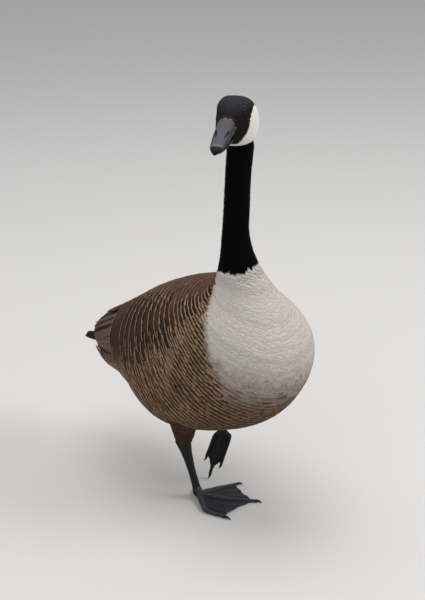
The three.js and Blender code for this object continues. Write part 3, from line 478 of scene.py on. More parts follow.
def tube_point(path, radii, squash=1.0):
    """A tube whose middle runs through the path and whose radius follows the list, u from 0 to 1."""
    path = np.asarray(path, float)
    radii = np.asarray(radii, float)[:, None]
    chord = unit(path[-1] - path[0])
    guide = np.array([1.0, 0, 0]) if abs(chord[2]) > 0.7 else np.array([0, 0, 1.0])
    step = 0.01

    def point(u, v):
        u = np.asarray(u, float)
        place = u * (len(path) - 1)
        along = unit(spline_rows(path, place + step) - spline_rows(path, place - step))
        side = unit(np.cross(guide, along))
        up = np.cross(along, side)
        radius = spline_rows(radii, u * (len(radii) - 1))
        c, s = cos_of(v)[..., None], sin_of(v)[..., None]
        return spline_rows(path, place) + radius * (s * side + squash * c * up)

    return point


def leg_axis(leg):
    joint, ankle = np.array(leg["joint"], float), np.array(leg["ankle"], float)
    return joint, unit(ankle - joint)


def thigh_form(leg):
    joint, up = leg_axis(leg)
    end = joint + up * (leg["thigh_end"] - 2)
    path = [between((end, np.array(leg["thigh_top"], float)), share) for share in THIGH_SHARES]
    return Form(tube_point(path, THIGH_RADII, 0.95), (0.5, 90.0), np.mean(path[1:3], 0))


BODY = Form(body_point, (8.0, 90.0), (-45, 0, 268))
SKULL = Form(head_ring_point(SKULL_RINGS, SKULL_ROUNDNESS, CHEEKS), (4.0, 90.0), in_head([0, 0, -15]))
TAIL = Form(tail_point, (2.0, 90.0), in_tail([20, 0, 0]))
FAN = Form(fan_point, (40.0, 0.0), in_tail([40, 0, -20]))
THIGHS = {leg["side"]: thigh_form(leg) for leg in (LEFT_LEG, RIGHT_LEG)}


# Meshes


def new_object(name, points, faces, material, smooth=True):
    """A mesh object at the origin from points in the bird's frame and faces in blocks of one size."""
    mesh = bpy.data.meshes.new(name)
    corners = np.concatenate([np.asarray(block, np.int32).ravel() for block in faces])
    sizes = np.concatenate([np.full(len(block), np.shape(block)[1], np.int32) for block in faces])
    points = to_row(points).reshape(-1, 3)
    mesh.vertices.add(len(points))
    mesh.vertices.foreach_set("co", points.astype(np.float32).ravel())
    mesh.loops.add(len(corners))
    mesh.loops.foreach_set("vertex_index", corners)
    mesh.polygons.add(len(sizes))
    starts = np.concatenate([[0], np.cumsum(sizes)[:-1]]).astype(np.int32)
    mesh.polygons.foreach_set("loop_start", starts)
    mesh.update(calc_edges=True)
    mesh.polygons.foreach_set("use_smooth", np.full(len(sizes), smooth))
    mesh.materials.append(material)
    obj = bpy.data.objects.new(name, mesh)
    bpy.context.scene.collection.objects.link(obj)
    return obj


def set_uv(obj, name, uv):
    """A UV map from one pair per vertex."""
    layer = obj.data.uv_layers.new(name=name)
    corners = np.empty(len(obj.data.loops), np.int32)
    obj.data.loops.foreach_get("vertex_index", corners)
    layer.data.foreach_set("uv", np.asarray(uv, np.float32)[corners].ravel())


def set_number(obj, name, values):
    layer = obj.data.attributes.new(name, "FLOAT", "POINT")
    layer.data.foreach_set("value", np.asarray(values, np.float32).ravel())


def vertex_places(obj):
    """Places of the vertices in the bird's own frame."""
    places = np.empty(len(obj.data.vertices) * 3, np.float32)
    obj.data.vertices.foreach_get("co", places)
    return from_row(places.reshape(-1, 3))


def tube_faces(rings, sides):
    """Quads between rings of points that go round, and a fan over each end to two extra points."""
    i, j = np.meshgrid(np.arange(rings - 1), np.arange(sides), indexing="ij")
    a, b = i * sides + j, i * sides + (j + 1) % sides
    quads = np.stack([a, b, b + sides, a + sides], -1).reshape(-1, 4)
    around = np.arange(sides)
    following = (around + 1) % sides
    first, high_row = rings * sides, (rings - 1) * sides
    low = np.stack([following, around, np.full(sides, first)], -1)
    high = np.stack([high_row + around, high_row + following, np.full(sides, first + 1)], -1)
    return quads, np.vstack([low, high])


def outward(points, faces):
    """The faces, turned over if the closed mesh they make has a negative volume."""
    volume = 0.0
    for block in faces:
        for k in range(1, block.shape[1] - 1):
            a, b, c = points[block[:, 0]], points[block[:, k]], points[block[:, k + 1]]
            volume += np.einsum("ij,ij->", a, np.cross(b, c))
    return faces if volume > 0 else [block[:, ::-1] for block in faces]


def closed_tube(surface, reach, rings, sides):
    """Points and faces of a closed tube: the surface sampled on a grid, its ends closed by fans."""
    v_values = np.linspace(-180, 180, sides, endpoint=False)
    u, v = np.meshgrid(np.linspace(*reach, rings), v_values, indexing="ij")
    grid = surface(u, v)
    ends = np.stack([grid[0].mean(0), grid[-1].mean(0)])
    points = np.vstack([grid.reshape(-1, 3), ends])
    return points, outward(points, list(tube_faces(rings, sides)))


def join(shells):
    """Several meshes of points and blocks of faces as one."""
    starts = np.cumsum([0] + [len(points) for points, _ in shells])
    blocks = [block + start for start, (_, faces) in zip(starts, shells) for block in faces]
    return np.vstack([points for points, _ in shells]), blocks


def even_object(name, shells, material, size, rounds=0):
    """Shells that cross each other, as one closed surface of even faces, smoothed over some rounds."""
    points, faces = join(shells)
    points[:, 2] = np.maximum(points[:, 2], LOWEST)
    quads_first = sorted(faces, key=lambda block: -block.shape[1])
    obj = new_object(name, points, quads_first, material)
    remesh = obj.modifiers.new("even", "REMESH")
    remesh.mode = "VOXEL"
    remesh.voxel_size = size
    remesh.use_smooth_shade = True
    if rounds:
        obj.modifiers.new("soft", "SMOOTH").iterations = rounds
    evaluated = obj.evaluated_get(bpy.context.evaluated_depsgraph_get())
    mesh, old = bpy.data.meshes.new_from_object(evaluated), obj.data
    obj.modifiers.clear()
    obj.data = mesh
    bpy.data.meshes.remove(old)
    return obj


def finish_piece(obj, slot, *nodes):
    """The piece rides on the one body and stands for its nodes; its slot is not used."""
    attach(obj, "root")
    if nodes:
        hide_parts(*nodes)
    return obj


# Feathers


def feather_mesh(form, feathers, line, towards, columns, thickness):
    """Many feathers on one form as one set of points and faces. Each is a vane whose outline comes
    from a line of shares, carried from its tip back to its root along the form in steps of equal
    length, with a raised middle and a shared underside, so that each is a closed thin solid.
    feathers holds arrays: u, v (the tip's place), length, width, turn (degrees off the form's own
    line), root and tip (heights), camber, curl (extra lift of the last third) and lean (tilt across)."""
    shares, halves = (np.array(values, float) for values in VANE_LINES[line])
    count, stations = len(feathers["u"]), len(shares)
    offsets = np.linspace(-1, 1, 2 * columns + 1)
    turn = np.radians(feathers["turn"])
    ahead, across = np.cos(turn) * towards, np.sin(turn)
    u, v = feathers["u"].astype(float), feathers["v"].astype(float)
    layers = [None] * stations
    for k in range(stations - 1, -1, -1):
        along, around, _ = form.slopes(u, v)
        pace_u, pace_v = (np.linalg.norm(vectors, axis=-1) for vectors in (along, around))
        if k < stations - 1:
            run = (shares[k + 1] - shares[k]) * feathers["length"]
            u = u - run * ahead / pace_u
            v = v - run * across / pace_v
        out = (feathers["width"] / 2 * halves[k])[:, None] * offsets
        station_u = u[:, None] - out * (np.sin(turn) * towards / pace_u)[:, None]
        station_v = v[:, None] + out * (np.cos(turn) / pace_v)[:, None]
        rise = feathers["root"] + (feathers["tip"] - feathers["root"]) * shares[k]
        rise = rise + feathers["curl"] * ease((shares[k] - 0.6) / 0.4)
        crown = feathers["camber"][:, None] * halves[k] * (1 - offsets**2)
        height = rise[:, None] + crown + feathers["lean"][:, None] * out
        under_height = rise[:, None] - thickness * (1 - 0.6 * shares[k])
        middle = slice(columns, columns + 1)
        layers[k] = form.raised(
            np.hstack([station_u, station_u[:, middle]]),
            np.hstack([station_v, station_v[:, middle]]),
            np.hstack([height, under_height]),
        )
    ring = 2 * columns + 2
    block = np.arange(count)[:, None, None] * stations * ring
    quads = (tube_faces(stations, ring)[0][None] + block).reshape(-1, 4)
    ends = np.stack([np.arange(ring)[::-1], (stations - 1) * ring + np.arange(ring)])
    caps = (ends[None] + block).reshape(-1, ring)
    side = np.append((offsets + 1) / 2, 0.5)
    local = np.stack(np.broadcast_arrays(side[None, :], shares[:, None]), -1)
    uv = np.broadcast_to(local, (count, stations, ring, 2)).reshape(-1, 2)
    return np.stack(layers, 1).reshape(-1, 3), [quads, caps], uv


class Coat:
    """Feathers from one or more forms, gathered into one joined mesh with its maps."""

    def __init__(self):
        self.shells, self.uv, self.bake, self.numbers = [], [], [], {}

    def add(self, form, feathers, line, atlas="body", towards=1.0, columns=1, thickness=0.5, **numbers):
        """More feathers. Each takes its own small patch of the map at its root's place, and each of
        the numbers becomes an attribute that the materials read."""
        points, faces, uv = feather_mesh(form, feathers, line, towards, columns, thickness)
        count = len(feathers["u"])
        each = len(points) // count
        self.shells.append((points, outward(points, faces)))
        self.uv.append(uv)
        start, end, left, bottom, width, height = ATLAS[atlas]
        place_u = left + width * (feathers["u"] - start) / (end - start)
        place_v = bottom + height * ((feathers["v"] + 180) % 360) / 360
        root = np.repeat(np.stack([place_u, place_v], -1), each, axis=0)
        self.bake.append(np.clip(root, 0.004, 0.996) + (uv - 0.5) * PATCH)
        for name, values in {**numbers, "span": feathers["length"]}.items():
            values = np.broadcast_to(np.asarray(values, float), count)
            self.numbers.setdefault(name, []).append(np.repeat(values, each))
        return self

    def finish(self, name, material, slot, *nodes):
        obj = new_object(name, *join(self.shells), material, smooth=False)
        set_uv(obj, "OFBake", np.vstack(self.bake))
        set_uv(obj, "Vane", np.vstack(self.uv))
        for key, values in self.numbers.items():
            set_number(obj, key, np.concatenate(values))
        return finish_piece(obj, slot, *nodes)


def rows_on(form, rows, coat, rng, span=(-180.0, 180.0)):
    """Places in rows round a form: for each u of rows, steps of v as the coat's entry in ROWS says,
    every second row half a step on."""
    spacing, jitter = ROWS[coat]
    us, vs = [], []
    step = 3.0
    probe = np.arange(span[0], span[1] + step, step)
    for number, row in enumerate(rows):
        run = form.run(np.full(len(probe), row), probe, 1)
        count = max(3, round(run[-1] / spacing))
        places = (np.arange(count) + 0.5 * (number % 2) + jitter * rng.uniform(-1, 1, count)) / count
        vs.append(np.interp(places % 1.0, run / run[-1], probe))
        us.append(np.full(count, row))
    return np.concatenate(us), np.concatenate(vs)


def row_steps(form, reach, spacing, v=85.0):
    """Values of u through the reach that lie spacing millimetres apart at the angle v."""
    probe = np.linspace(*reach, 200)
    run = form.run(probe, np.full(200, v), 0)
    count = max(2, round(run[-1] / spacing))
    return np.interp(np.arange(count) / count * run[-1], run, probe)


def feather_set(u, v, rng, **sizes):
    """Arrays for feather_mesh: each size is a number, an array, or a pair of middle and spread."""
    made = {"u": u, "v": v}
    for name, size in sizes.items():
        if isinstance(size, tuple):
            middle, spread = size
            made[name] = middle + spread * rng.uniform(-1, 1, len(u))
        else:
            made[name] = np.broadcast_to(np.asarray(size, float), u.shape).copy()
    for name in ("turn", "root", "tip", "camber", "curl", "lean"):
        made.setdefault(name, np.zeros(len(u)))
    return made


# Materials


class Socket:
    """A shader socket with arithmetic: an expression on values adds its Math nodes."""

    def __init__(self, paint, output):
        self.paint, self.output = paint, output

    def __add__(self, other):
        return self.paint.math("ADD", self, other)

    __radd__ = __add__

    def __sub__(self, other):
        return self.paint.math("SUBTRACT", self, other)

    def __rsub__(self, other):
        return self.paint.math("SUBTRACT", other, self)

    def __mul__(self, other):
        return self.paint.math("MULTIPLY", self, other)

    def __abs__(self):
        return self.paint.math("ABSOLUTE", self)

    def ramp(self, start, end):
        """Rises smoothly from 0 at start to 1 at end, either way round."""
        settings = {"interpolation_type": "SMOOTHSTEP", "clamp": True}
        return self.paint.node(
            "ShaderNodeMapRange", settings, {"Value": self, "From Min": start, "From Max": end}, "Result"
        )


class Paint:
    """A node material with one principled shader."""

    def __init__(self, name):
        self.material = bpy.data.materials.new(name)
        self.material.use_nodes = True
        self.tree = self.material.node_tree
        self.shader = self.tree.nodes["Principled BSDF"]

    def node(self, kind, settings, inputs, output=0):
        """A node of a type: its settings are set first, then the values or links of its sockets."""
        node = self.tree.nodes.new(kind)
        for name, value in settings.items():
            setattr(node, name, value)
        for name, value in inputs.items():
            self.feed(node.inputs[name], value)
        return Socket(self, node.outputs[output])

    def feed(self, socket, value):
        """A link from another node, or a value: three numbers get an alpha where a colour wants it."""
        if isinstance(value, Socket):
            self.tree.links.new(value.output, socket)
            return
        triple = isinstance(value, tuple) and len(value) == 3
        wants_alpha = triple and len(socket.default_value) == 4
        socket.default_value = (*value, 1.0) if wants_alpha else value

    def look(self, colour, roughness, specular):
        """Colour, roughness and strength of the reflection of the shader."""
        looks = {"Base Color": colour, "Roughness": roughness, "Specular IOR Level": specular}
        for name, value in looks.items():
            self.feed(self.shader.inputs[name], value)
        return self

    def bump(self, height, strength, distance):
        """Small relief, and the finished material."""
        sizes = {"Height": height, "Strength": strength, "Distance": distance}
        self.feed(self.shader.inputs["Normal"], self.node("ShaderNodeBump", {}, sizes))
        return self.material

    def math(self, operation, *values):
        return self.node("ShaderNodeMath", {"operation": operation}, dict(enumerate(values)))

    def mix(self, share, one, other):
        """A colour between two colours, each a socket, three numbers or a name."""
        one, other = (colour_of(c) if isinstance(c, str) else c for c in (one, other))
        settings = {"data_type": "RGBA", "clamp_factor": True}
        return self.node("ShaderNodeMix", settings, {"Factor": share, 6: one, 7: other}, 2)

    def place(self):
        return self.node("ShaderNodeTexCoord", {}, {}, "Object")

    def noise(self, scale, detail=3.0, vector=None):
        sizes = {"Vector": vector or self.place(), "Scale": scale, "Detail": detail, "Roughness": 0.5}
        return self.node("ShaderNodeTexNoise", {}, sizes)

    def number(self, name):
        return self.node("ShaderNodeAttribute", {"attribute_name": name}, {}, "Fac")

    def vane(self):
        """Across (0 to 1) and along (0 at the root, 1 at the tip) of the feather's own map, and the
        fine slanted ribs on both sides of its shaft."""
        uv = self.node("ShaderNodeUVMap", {"uv_map": "Vane"}, {})
        parts = self.node("ShaderNodeSeparateXYZ", {}, {0: uv}).output.node
        stretched = self.node("ShaderNodeMapping", {}, {"Vector": uv, "Scale": (9.0, 60.0, 1.0)})
        return Socket(self, parts.outputs[0]), Socket(self, parts.outputs[1]), self.noise(1.0, 2.0, stretched)


def colour_of(name, share=1.0):
    """A colour of the bird, darker or lighter by a share."""
    return tuple(share * c for c in getattr(bpy.context.scene.goose_colours, name))


def feather_material(name):
    """A feather with a web that darkens towards its tip and a pale fringe round the tip. The number
    white turns it into a pale feather, shade varies it from feather to feather, gap darkens a parted
    one with its darker web and the painted shadow of its gap, under darkens the half on its side as
    painted shade between tertials, striped pales both long edges. Of its looks, worn is the strength
    of the reddish wear, and the last sets the painted shade near each tip of a white feather, together
    with its random tone."""
    if name in bpy.data.materials:
        return bpy.data.materials[name]
    dark, middle, pale, rim, own = FEATHER_LOOKS[name]
    look = {**FEATHER_DEFAULTS, **own}
    paint = Paint(name)
    across, along, rib = paint.vane()
    shade, white = paint.number("shade"), paint.number("white")
    side = abs(across - 0.5)
    back = (1.0 - along) * paint.number("span") - side * side * 6.0 + (rib - 0.5) * 1.4
    fringe = back.ramp(1.35 * rim, 0.7 * rim) * paint.number("fringe")
    web = paint.mix(back.ramp(3.0 * rim, 7.5 * rim), dark, middle)
    rust = paint.noise(16.0, 2.0).ramp(0.42, 0.66) * 0.45 + shade.ramp(0.6, 1.0) * 0.3
    web = paint.mix(rust * look["worn"], web, "rust")
    # Painted shade: under darkens one half of each tertial for the shadowed gaps between them; gap darkens
    # parted flank feathers, partly their own darker webs and partly painted shadow in their gaps.
    under = ((across - 0.5) * paint.number("under")).ramp(0.2, 0.42)
    web = paint.mix(under + paint.number("gap"), web, colour_of("wing_dark", 0.3))
    shown = paint.mix(fringe + side.ramp(0.3, 0.46) * paint.number("striped"), web, pale)
    # Painted shade: a white feather darkens towards its tip, drawing a faint shaded line along each row, and
    # its tone varies at random.
    shaded_white = paint.mix((back.ramp(3.0, 0.3) + shade) * look["white_shading"], "breast", "breast_shade")
    streak = white + (rib - 0.5) * 0.5 * (1.0 - white) * white * 4.0
    paint.look(paint.mix(streak, shown, shaded_white), look["roughness"], 0.1)
    return paint.bump(rib * 0.6 + side.ramp(0.05, 0.0) * 0.5, 0.3, 0.0005)


def neck_material():
    """Short dense feathering with soft strands, a little paler at the tips."""
    paint = Paint("neck_velvet")
    _, along, rib = paint.vane()
    paint.look(paint.mix(along * 0.5 + paint.number("shade") * 0.4, "neck_black", "neck_tip"), 0.8, 0.04)
    return paint.bump(rib, 0.3, 0.0004)


def head_material():
    """Black and white velvet by the number white, with a painted sheen that pales the crown, rusty with
    pale specks at the bill's feather line, and a painted highlight above each eye."""
    paint = Paint("head_velvet")
    _, along, rib = paint.vane()
    shade = paint.number("shade")
    # Painted sheen: the crown pales upwards towards head_sheen, varied from tuft to tuft.
    black = paint.mix((shade * 0.3 + 0.6) * paint.number("crown"), "head_black", "head_sheen")
    black = paint.mix(paint.number("rust"), black, "rust")
    # Pale specks at the bill's feather line, and the painted highlight above each eye.
    pale = paint.number("speck") * along.ramp(0.1, 0.5) * 0.5 + paint.number("brow") * 0.075
    black = paint.mix(pale, black, "breast")
    white = paint.mix(shade * 0.5 + rib * 0.3, "cheek", "cheek_shade")
    paint.look(paint.mix(paint.number("white"), black, white), 0.7, 0.12)
    return paint.bump(rib, 0.3, 0.0003)


def down_material():
    """Down on the skin: brown, white and black as the plumage over it."""
    paint = Paint("skin_down")
    grain = paint.noise(120.0)
    shown = paint.mix(grain, "flank_dark", "wing_dark")
    shown = paint.mix(paint.number("white"), shown, "breast_shade")
    shown = paint.mix(paint.number("black"), shown, "neck_black")
    return paint.look(shown, 0.85, 0.1).bump(grain, 0.3, 0.0005)


def horn_material(name, colour, roughness, specular=0.2):
    paint = Paint(name)
    grain = paint.noise(120.0)
    shown = paint.mix(grain, colour, colour_of(colour, 0.7))
    return paint.look(shown, roughness, specular).bump(grain, 0.3, 0.0005)


# Settings


def label(name):
    return name.replace("_", " ").capitalize()


def lengths(table):
    return {
        name: FloatProperty(name=label(name), description=text, default=value, unit="LENGTH")
        for name, (text, value) in table.items()
    }


def colours(table):
    return {
        name: FloatVectorProperty(
            name=label(name), description=text, default=value, size=3, min=0.0, max=1.0, subtype="COLOR"
        )
        for name, (text, value) in table.items()
    }


class GooseCoat(PropertyGroup):
    """Depths and spacings of the plumage."""

    __annotations__ = lengths({
        "depth": ("How far the skin lies under the feathers", 0.0045),
        "wing_depth": ("How far the skin lies under the wing's feathers", 0.0085),
        "breast_rows": ("Distance between rows on the breast", 0.0036),
        "flank_rows": ("Distance between rows on the flank", 0.0068),
        "neck_rows": ("Distance between rows on the neck", 0.0038),
        "head_rows": ("Distance between rows on the head", 0.0026),
    })
    seed: IntProperty(name="Seed", description="Start of the random draws", default=7)


class GooseColours(PropertyGroup):
    """Colours of the bird, as linear values."""

    __annotations__ = colours({
        "breast": ("White of the breast", (0.55, 0.502, 0.462)),
        "breast_shade": ("Shaded white between the rows", (0.345, 0.305, 0.265)),
        "flank_dark": ("Dark web of the flank feathers", (0.042, 0.023, 0.012)),
        "flank": ("Web of the flank feathers", (0.09, 0.053, 0.028)),
        "flank_pale": ("Fringe of the flank feathers", (0.31, 0.212, 0.134)),
        "mantle_dark": ("Dark web of the mantle", (0.062, 0.034, 0.023)),
        "mantle": ("Web of the mantle", (0.105, 0.06, 0.042)),
        "mantle_pale": ("Fringe of the mantle", (0.18, 0.115, 0.08)),
        "wing_dark": ("Dark web of the wing feathers", (0.0155, 0.0074, 0.0042)),
        "wing": ("Web of the wing feathers", (0.041, 0.0195, 0.011)),
        "wing_pale": ("Fringe of the wing feathers", (0.33, 0.225, 0.15)),
        "quill": ("Webs of the secondaries", (0.11, 0.066, 0.046)),
        "quill_edge": ("Outer edge of the quills", (0.2, 0.13, 0.096)),
        "quill_black": ("Tail and wing tip", (0.0045, 0.0038, 0.0038)),
        "rust": ("Reddish brown of worn webs", (0.09, 0.04, 0.022)),
        "neck_black": ("Black of the neck", (0.0009, 0.0008, 0.0008)),
        "neck_tip": ("Tips of the neck's tufts", (0.0025, 0.0022, 0.0024)),
        "head_black": ("Blackish brown of the head", (0.0052, 0.0034, 0.0036)),
        # head_sheen is a painted sheen: the paler grey of the light on the crown.
        "head_sheen": ("Paler tips on the crown", (0.026, 0.024, 0.031)),
        "cheek": ("White of the cheek", (0.76, 0.735, 0.71)),
        "cheek_shade": ("Shaded white of the cheek", (0.62, 0.58, 0.54)),
        "bill": ("Slate of the bill", (0.066, 0.068, 0.083)),
        "bill_shade": ("Darker sides of the bill", (0.017, 0.017, 0.021)),
        "bill_dark": ("Nail and edges of the bill", (0.0022, 0.002, 0.0022)),
        "iris": ("Dark brown of the eye", (0.003, 0.0018, 0.0014)),
        "leg": ("Blackish skin of legs and webs", (0.0062, 0.0054, 0.0064)),
        # leg_pale: pale tops of the scales, and on the right foot's toes also painted light.
        "leg_pale": ("Paler ridges of the toes", (0.062, 0.058, 0.074)),
        "claw": ("Horn of the claws", (0.01, 0.009, 0.009)),
        "thigh": ("Feathers of the thigh", (0.07, 0.032, 0.018)),
    })


class GooseStudio(PropertyGroup):
    """Camera, lights and floor."""

    lens: FloatProperty(name="Lens", description="Focal length", default=78.0, unit="CAMERA")
    pitch: FloatProperty(
        name="Pitch", description="Angle below level", default=math.radians(20.8), subtype="ANGLE"
    )
    heading: FloatProperty(
        name="Heading", description="Turn about the vertical", default=math.radians(-39.0), subtype="ANGLE"
    )
    place: FloatVectorProperty(
        name="Camera place", description="Where the camera stands", default=(-1.2465, -1.6255, 1.102),
        subtype="XYZ", unit="LENGTH",
    )
    sky: FloatProperty(name="Sky", description="Strength of the even light", default=0.55)
    key: FloatProperty(name="Key", description="Power of the main light", default=72.0)


def mm(name):
    return getattr(bpy.context.scene.goose_coat, name) / MM


def draws(group, side=0):
    return np.random.default_rng(bpy.context.scene.goose_coat.seed + DRAWS[group] + side)


# Edges of the plumage


def wing_share(u, v):
    """1 in the middle of the folded wing, 0 outside it."""
    angle = np.abs(v)
    front = ease((u - WING["front"]) / 0.8)
    upper = ease((angle - look_up(WING_UPPER, u)) / WING["soft"] + 0.5)
    upper = np.where(u > WING["whole_from"], 1.0, upper)
    return front * upper * ease((look_up(WING_LOWER, u) - angle) / WING["soft"] + 0.2)


def breast_white(u, angle, rng):
    """Share of white: sharp at the side of the breast, a wide soft fade under it, partly the real
    brown of the belly and partly painted shade of the underside.
    """
    width = 0.36 + 1.15 * ease((angle - 90) / 50)
    ragged = rng.normal(0, 0.05, len(u)) * (1 + ease((angle - 95) / 45))
    return ease((look_up(BREAST_EDGE, angle) - u + ragged) / width + 0.5)


def neck_edge(angle):
    """Ring where the black of the neck ends, lower on the right of the throat than on the left."""
    return NECK_EDGE["ring"] + NECK_EDGE["slant"] * cos_of(angle + NECK_EDGE["turned"])


def covert_upper(u):
    """Angle from the ridge of the back where the long lines of scapulars and coverts begin."""
    return np.where(u < WING["corner"], WING["shoulder"], look_up(WING_UPPER, u))


def covert_lower(u):
    """Angle from the ridge where they end over the flank."""
    return np.where(u < WING["corner"], 58 + 14 * ease((u - 5.4) / 1.9), look_up(WING_LOWER, u))


def row_bow(u, v):
    """How far the rows hook forward at the edges between wing and flank."""
    angle, lower = np.abs(v), look_up(WING_LOWER, u)
    inside = ease((angle - (lower - 18)) / 18) * (angle < lower)
    outside = ease(((lower + 20) - angle) / 20) * (angle >= lower)
    return -ease(u - 7.4) * (0.24 * inside + 0.36 * outside)


def wobble(u, v, rng):
    """Slow waves that keep the rows from running too evenly."""
    angle, phase = np.radians(v), rng.uniform(0, 6.28, 4)
    wave = np.sin(angle * 5 + u * 2.3 + phase[0]) + np.sin(angle * 11 - u * 4.1 + phase[1])
    return 0.018 * wave + 0.01 * np.sin(angle * 23 + u * 9.0 + phase[2])


def parted_share(u, v):
    """1 where the feathers lie parted: behind the wing's front corner and lower down on the flank.
    There their webs are painted dark, partly their own darker webs and partly painted shadow in the gaps."""
    inside = [np.hypot((u - ring) / long, (v - angle) / wide) < 1 for ring, angle, long, wide in PARTED]
    return np.any(inside, axis=0).astype(float)


def cheek_share(points):
    """How white a place of the head is: a band from behind the eye down and forward to the throat."""
    ahead, _, up = np.moveaxis(to_head(points), -1, 0)
    inside = np.minimum(look_up(CHEEK_FRONT, -up) - ahead, ahead - look_up(CHEEK_BACK, -up))
    return ease(inside / 1.6 + 0.5) * (up < 4)


# Pieces


class Builder:
    """What the operators share: execute builds the pieces and says that it finished."""

    def execute(self, context):
        self.build()
        return {"FINISHED"}


class GOOSE_OT_skin(Builder, Operator):
    """One skin under all feathers: head, neck, body, tail root and thighs, joined and evened"""

    bl_idname = "goose.skin"
    bl_label = "Skin"

    def build(self):
        shells = [closed_tube(self.body, REACH["skin"], 130, 96)]
        sunk = [(SKULL, 2.0, (0.15, 8.6), 50, 64), (TAIL, 1.0, (0, 3.9), 20, 48)]
        sunk += [(thigh, 2.5, (0, 1), 20, 32) for thigh in THIGHS.values()]
        for form, depth, reach, rings, sides in sunk:
            shells.append(closed_tube(lambda u, v: form.raised(u, v, -depth), reach, rings, sides))
        skin = even_object("skin", shells, down_material(), VOXEL["skin"])
        self.mark(skin)
        finish_piece(skin, "body_feathers", "torso", "neck", "head", "thigh_left", "thigh_right")

    def body(self, u, v):
        depth = between((mm("depth"), mm("wing_depth")), wing_share(u, v))
        return BODY.raised(u, v, -depth)

    def mark(self, skin):
        """Each vertex takes white and black from the nearest place of the plumage over it."""
        places = vertex_places(skin)
        steps = np.linspace(*REACH["skin"], 150), np.arange(-180.0, 180.0, 4.0)
        u, v = (values.ravel() for values in np.meshgrid(*steps, indexing="ij"))
        tree = KDTree(len(u))
        for number, place in enumerate(BODY.point(u, v)):
            tree.insert(place, number)
        tree.balance()
        nearest = np.array([tree.find(place)[1] for place in places])
        u, v = u[nearest], v[nearest]
        on_head = places[:, 2] > HEAD["middle"][2] - HEAD["throat"]
        cheek = cheek_share(places)
        white = breast_white(u, np.abs(v), draws("skin"))
        set_number(skin, "white", np.where(on_head, cheek, white))
        set_number(skin, "black", np.where(on_head, 1 - cheek, u < neck_edge(v)))


class GOOSE_OT_body_coat(Builder, Operator):
    """Contour feathers of the body in rows: white breast, barred flanks, mantle and white vent"""

    bl_idname = "goose.body_coat"
    bl_label = "Body coat"

    def build(self):
        self.breast()
        self.flanks()
        self.mantle()

    def breast(self):
        """Fine soft tufts, each row a shade of its own, so that faint lines run across the white."""
        rng = draws("breast")
        rows = row_steps(BODY, REACH["breast"], mm("breast_rows"))
        u, v = rows_on(BODY, rows, "breast", rng)
        angle = np.abs(v)
        keep = (u < look_up(BREAST_EDGE, angle) + 0.1) & (u > neck_edge(v) + 0.06) & (angle > 30)
        u, v = u[keep], v[keep]
        white = breast_white(u, np.abs(v), rng)
        row_shade = rng.uniform(0, 1, len(rows))[np.searchsorted(rows, u)]
        u = u + wobble(u, v, rng) + rng.normal(0, 0.015, len(u))
        root = -1.1 - 3.8 * ease((neck_edge(v) + 0.8 - u) / 0.7)
        feathers = feather_set(u, v, rng, **FEATHERS["breast"], root=root)
        shade = 0.65 * row_shade + 0.35 * rng.uniform(0, 1, len(u))
        coat = Coat().add(BODY, feathers, "soft", thickness=0.3, white=white, fringe=0.8, shade=shade)
        coat.finish("coat_breast", feather_material("breast_feathers"), "body_feathers")

    def flanks(self):
        rng = draws("flanks")
        close = mm("flank_rows")
        front = row_steps(BODY, REACH["flank"], close, 100.0)
        rows = np.append(front, row_steps(BODY, REACH["rear"], 1.4 * close, 100.0))
        for side, name in SIDES:
            u, v = rows_on(BODY, rows, "flank", rng, (30.0, 180.0))
            keep = (v > covert_lower(u) - 3) & (u > look_up(BREAST_EDGE, v) + 0.02)
            u, v = u[keep], v[keep]
            white = breast_white(u, v, rng)
            vent = ease((u - 9.3) / 0.6) * ease((v - 132) / 16)
            parted = parted_share(u, v)
            u = u + row_bow(u, v) + wobble(u, v * side, rng) + rng.normal(0, 0.008, len(u))
            belly = ease((v - 120) / 30)
            sizes = {**FEATHERS["flank"], "root": -4.2 + 1.3 * belly, "lean": side * 0.012}
            feathers = feather_set(u, side * v, rng, **sizes)
            feathers["turn"] = feathers["turn"] + 14 * parted * rng.uniform(-1, 1, len(u))
            shade = rng.uniform(0, 1, len(u)) * (1 - parted)
            fringe = np.clip(rng.normal(0.85, 0.15, len(u)), 0, 1)
            fringe = fringe * (1 - 0.45 * belly) * (1 - 0.6 * parted)
            # Painted dark in the parted patches: the feathers' darker webs and the painted shadow in their
            # gaps.
            gap = 0.9 * parted * rng.uniform(0.3, 1, len(u))
            numbers = {"white": np.maximum(white, vent), "shade": shade, "fringe": fringe, "gap": gap}
            coat = Coat().add(BODY, feathers, "broad", **numbers)
            coat.finish("coat_flank_" + name, feather_material("contour_feathers"), "body_feathers")

    def mantle(self):
        rng = draws("mantle")
        rows = row_steps(BODY, REACH["mantle"], mm("flank_rows") * 1.1, 20.0)
        u, v = rows_on(BODY, rows, "mantle", rng, (-80.0, 80.0))
        angle = np.abs(v)
        keep = (angle < covert_upper(u) + 10) & (u > look_up(BREAST_EDGE, angle) - 0.02)
        u, v = u[keep], v[keep]
        u = u + wobble(u, v, rng)
        feathers = feather_set(u, v, rng, **FEATHERS["mantle"])
        shade = rng.uniform(0, 1, len(u))
        fringe = np.clip(rng.normal(0.45, 0.25, len(u)), 0, 1)
        coat = Coat().add(BODY, feathers, "broad", shade=shade, fringe=fringe)
        coat.finish("coat_mantle", feather_material("mantle_feathers"), "body_feathers")


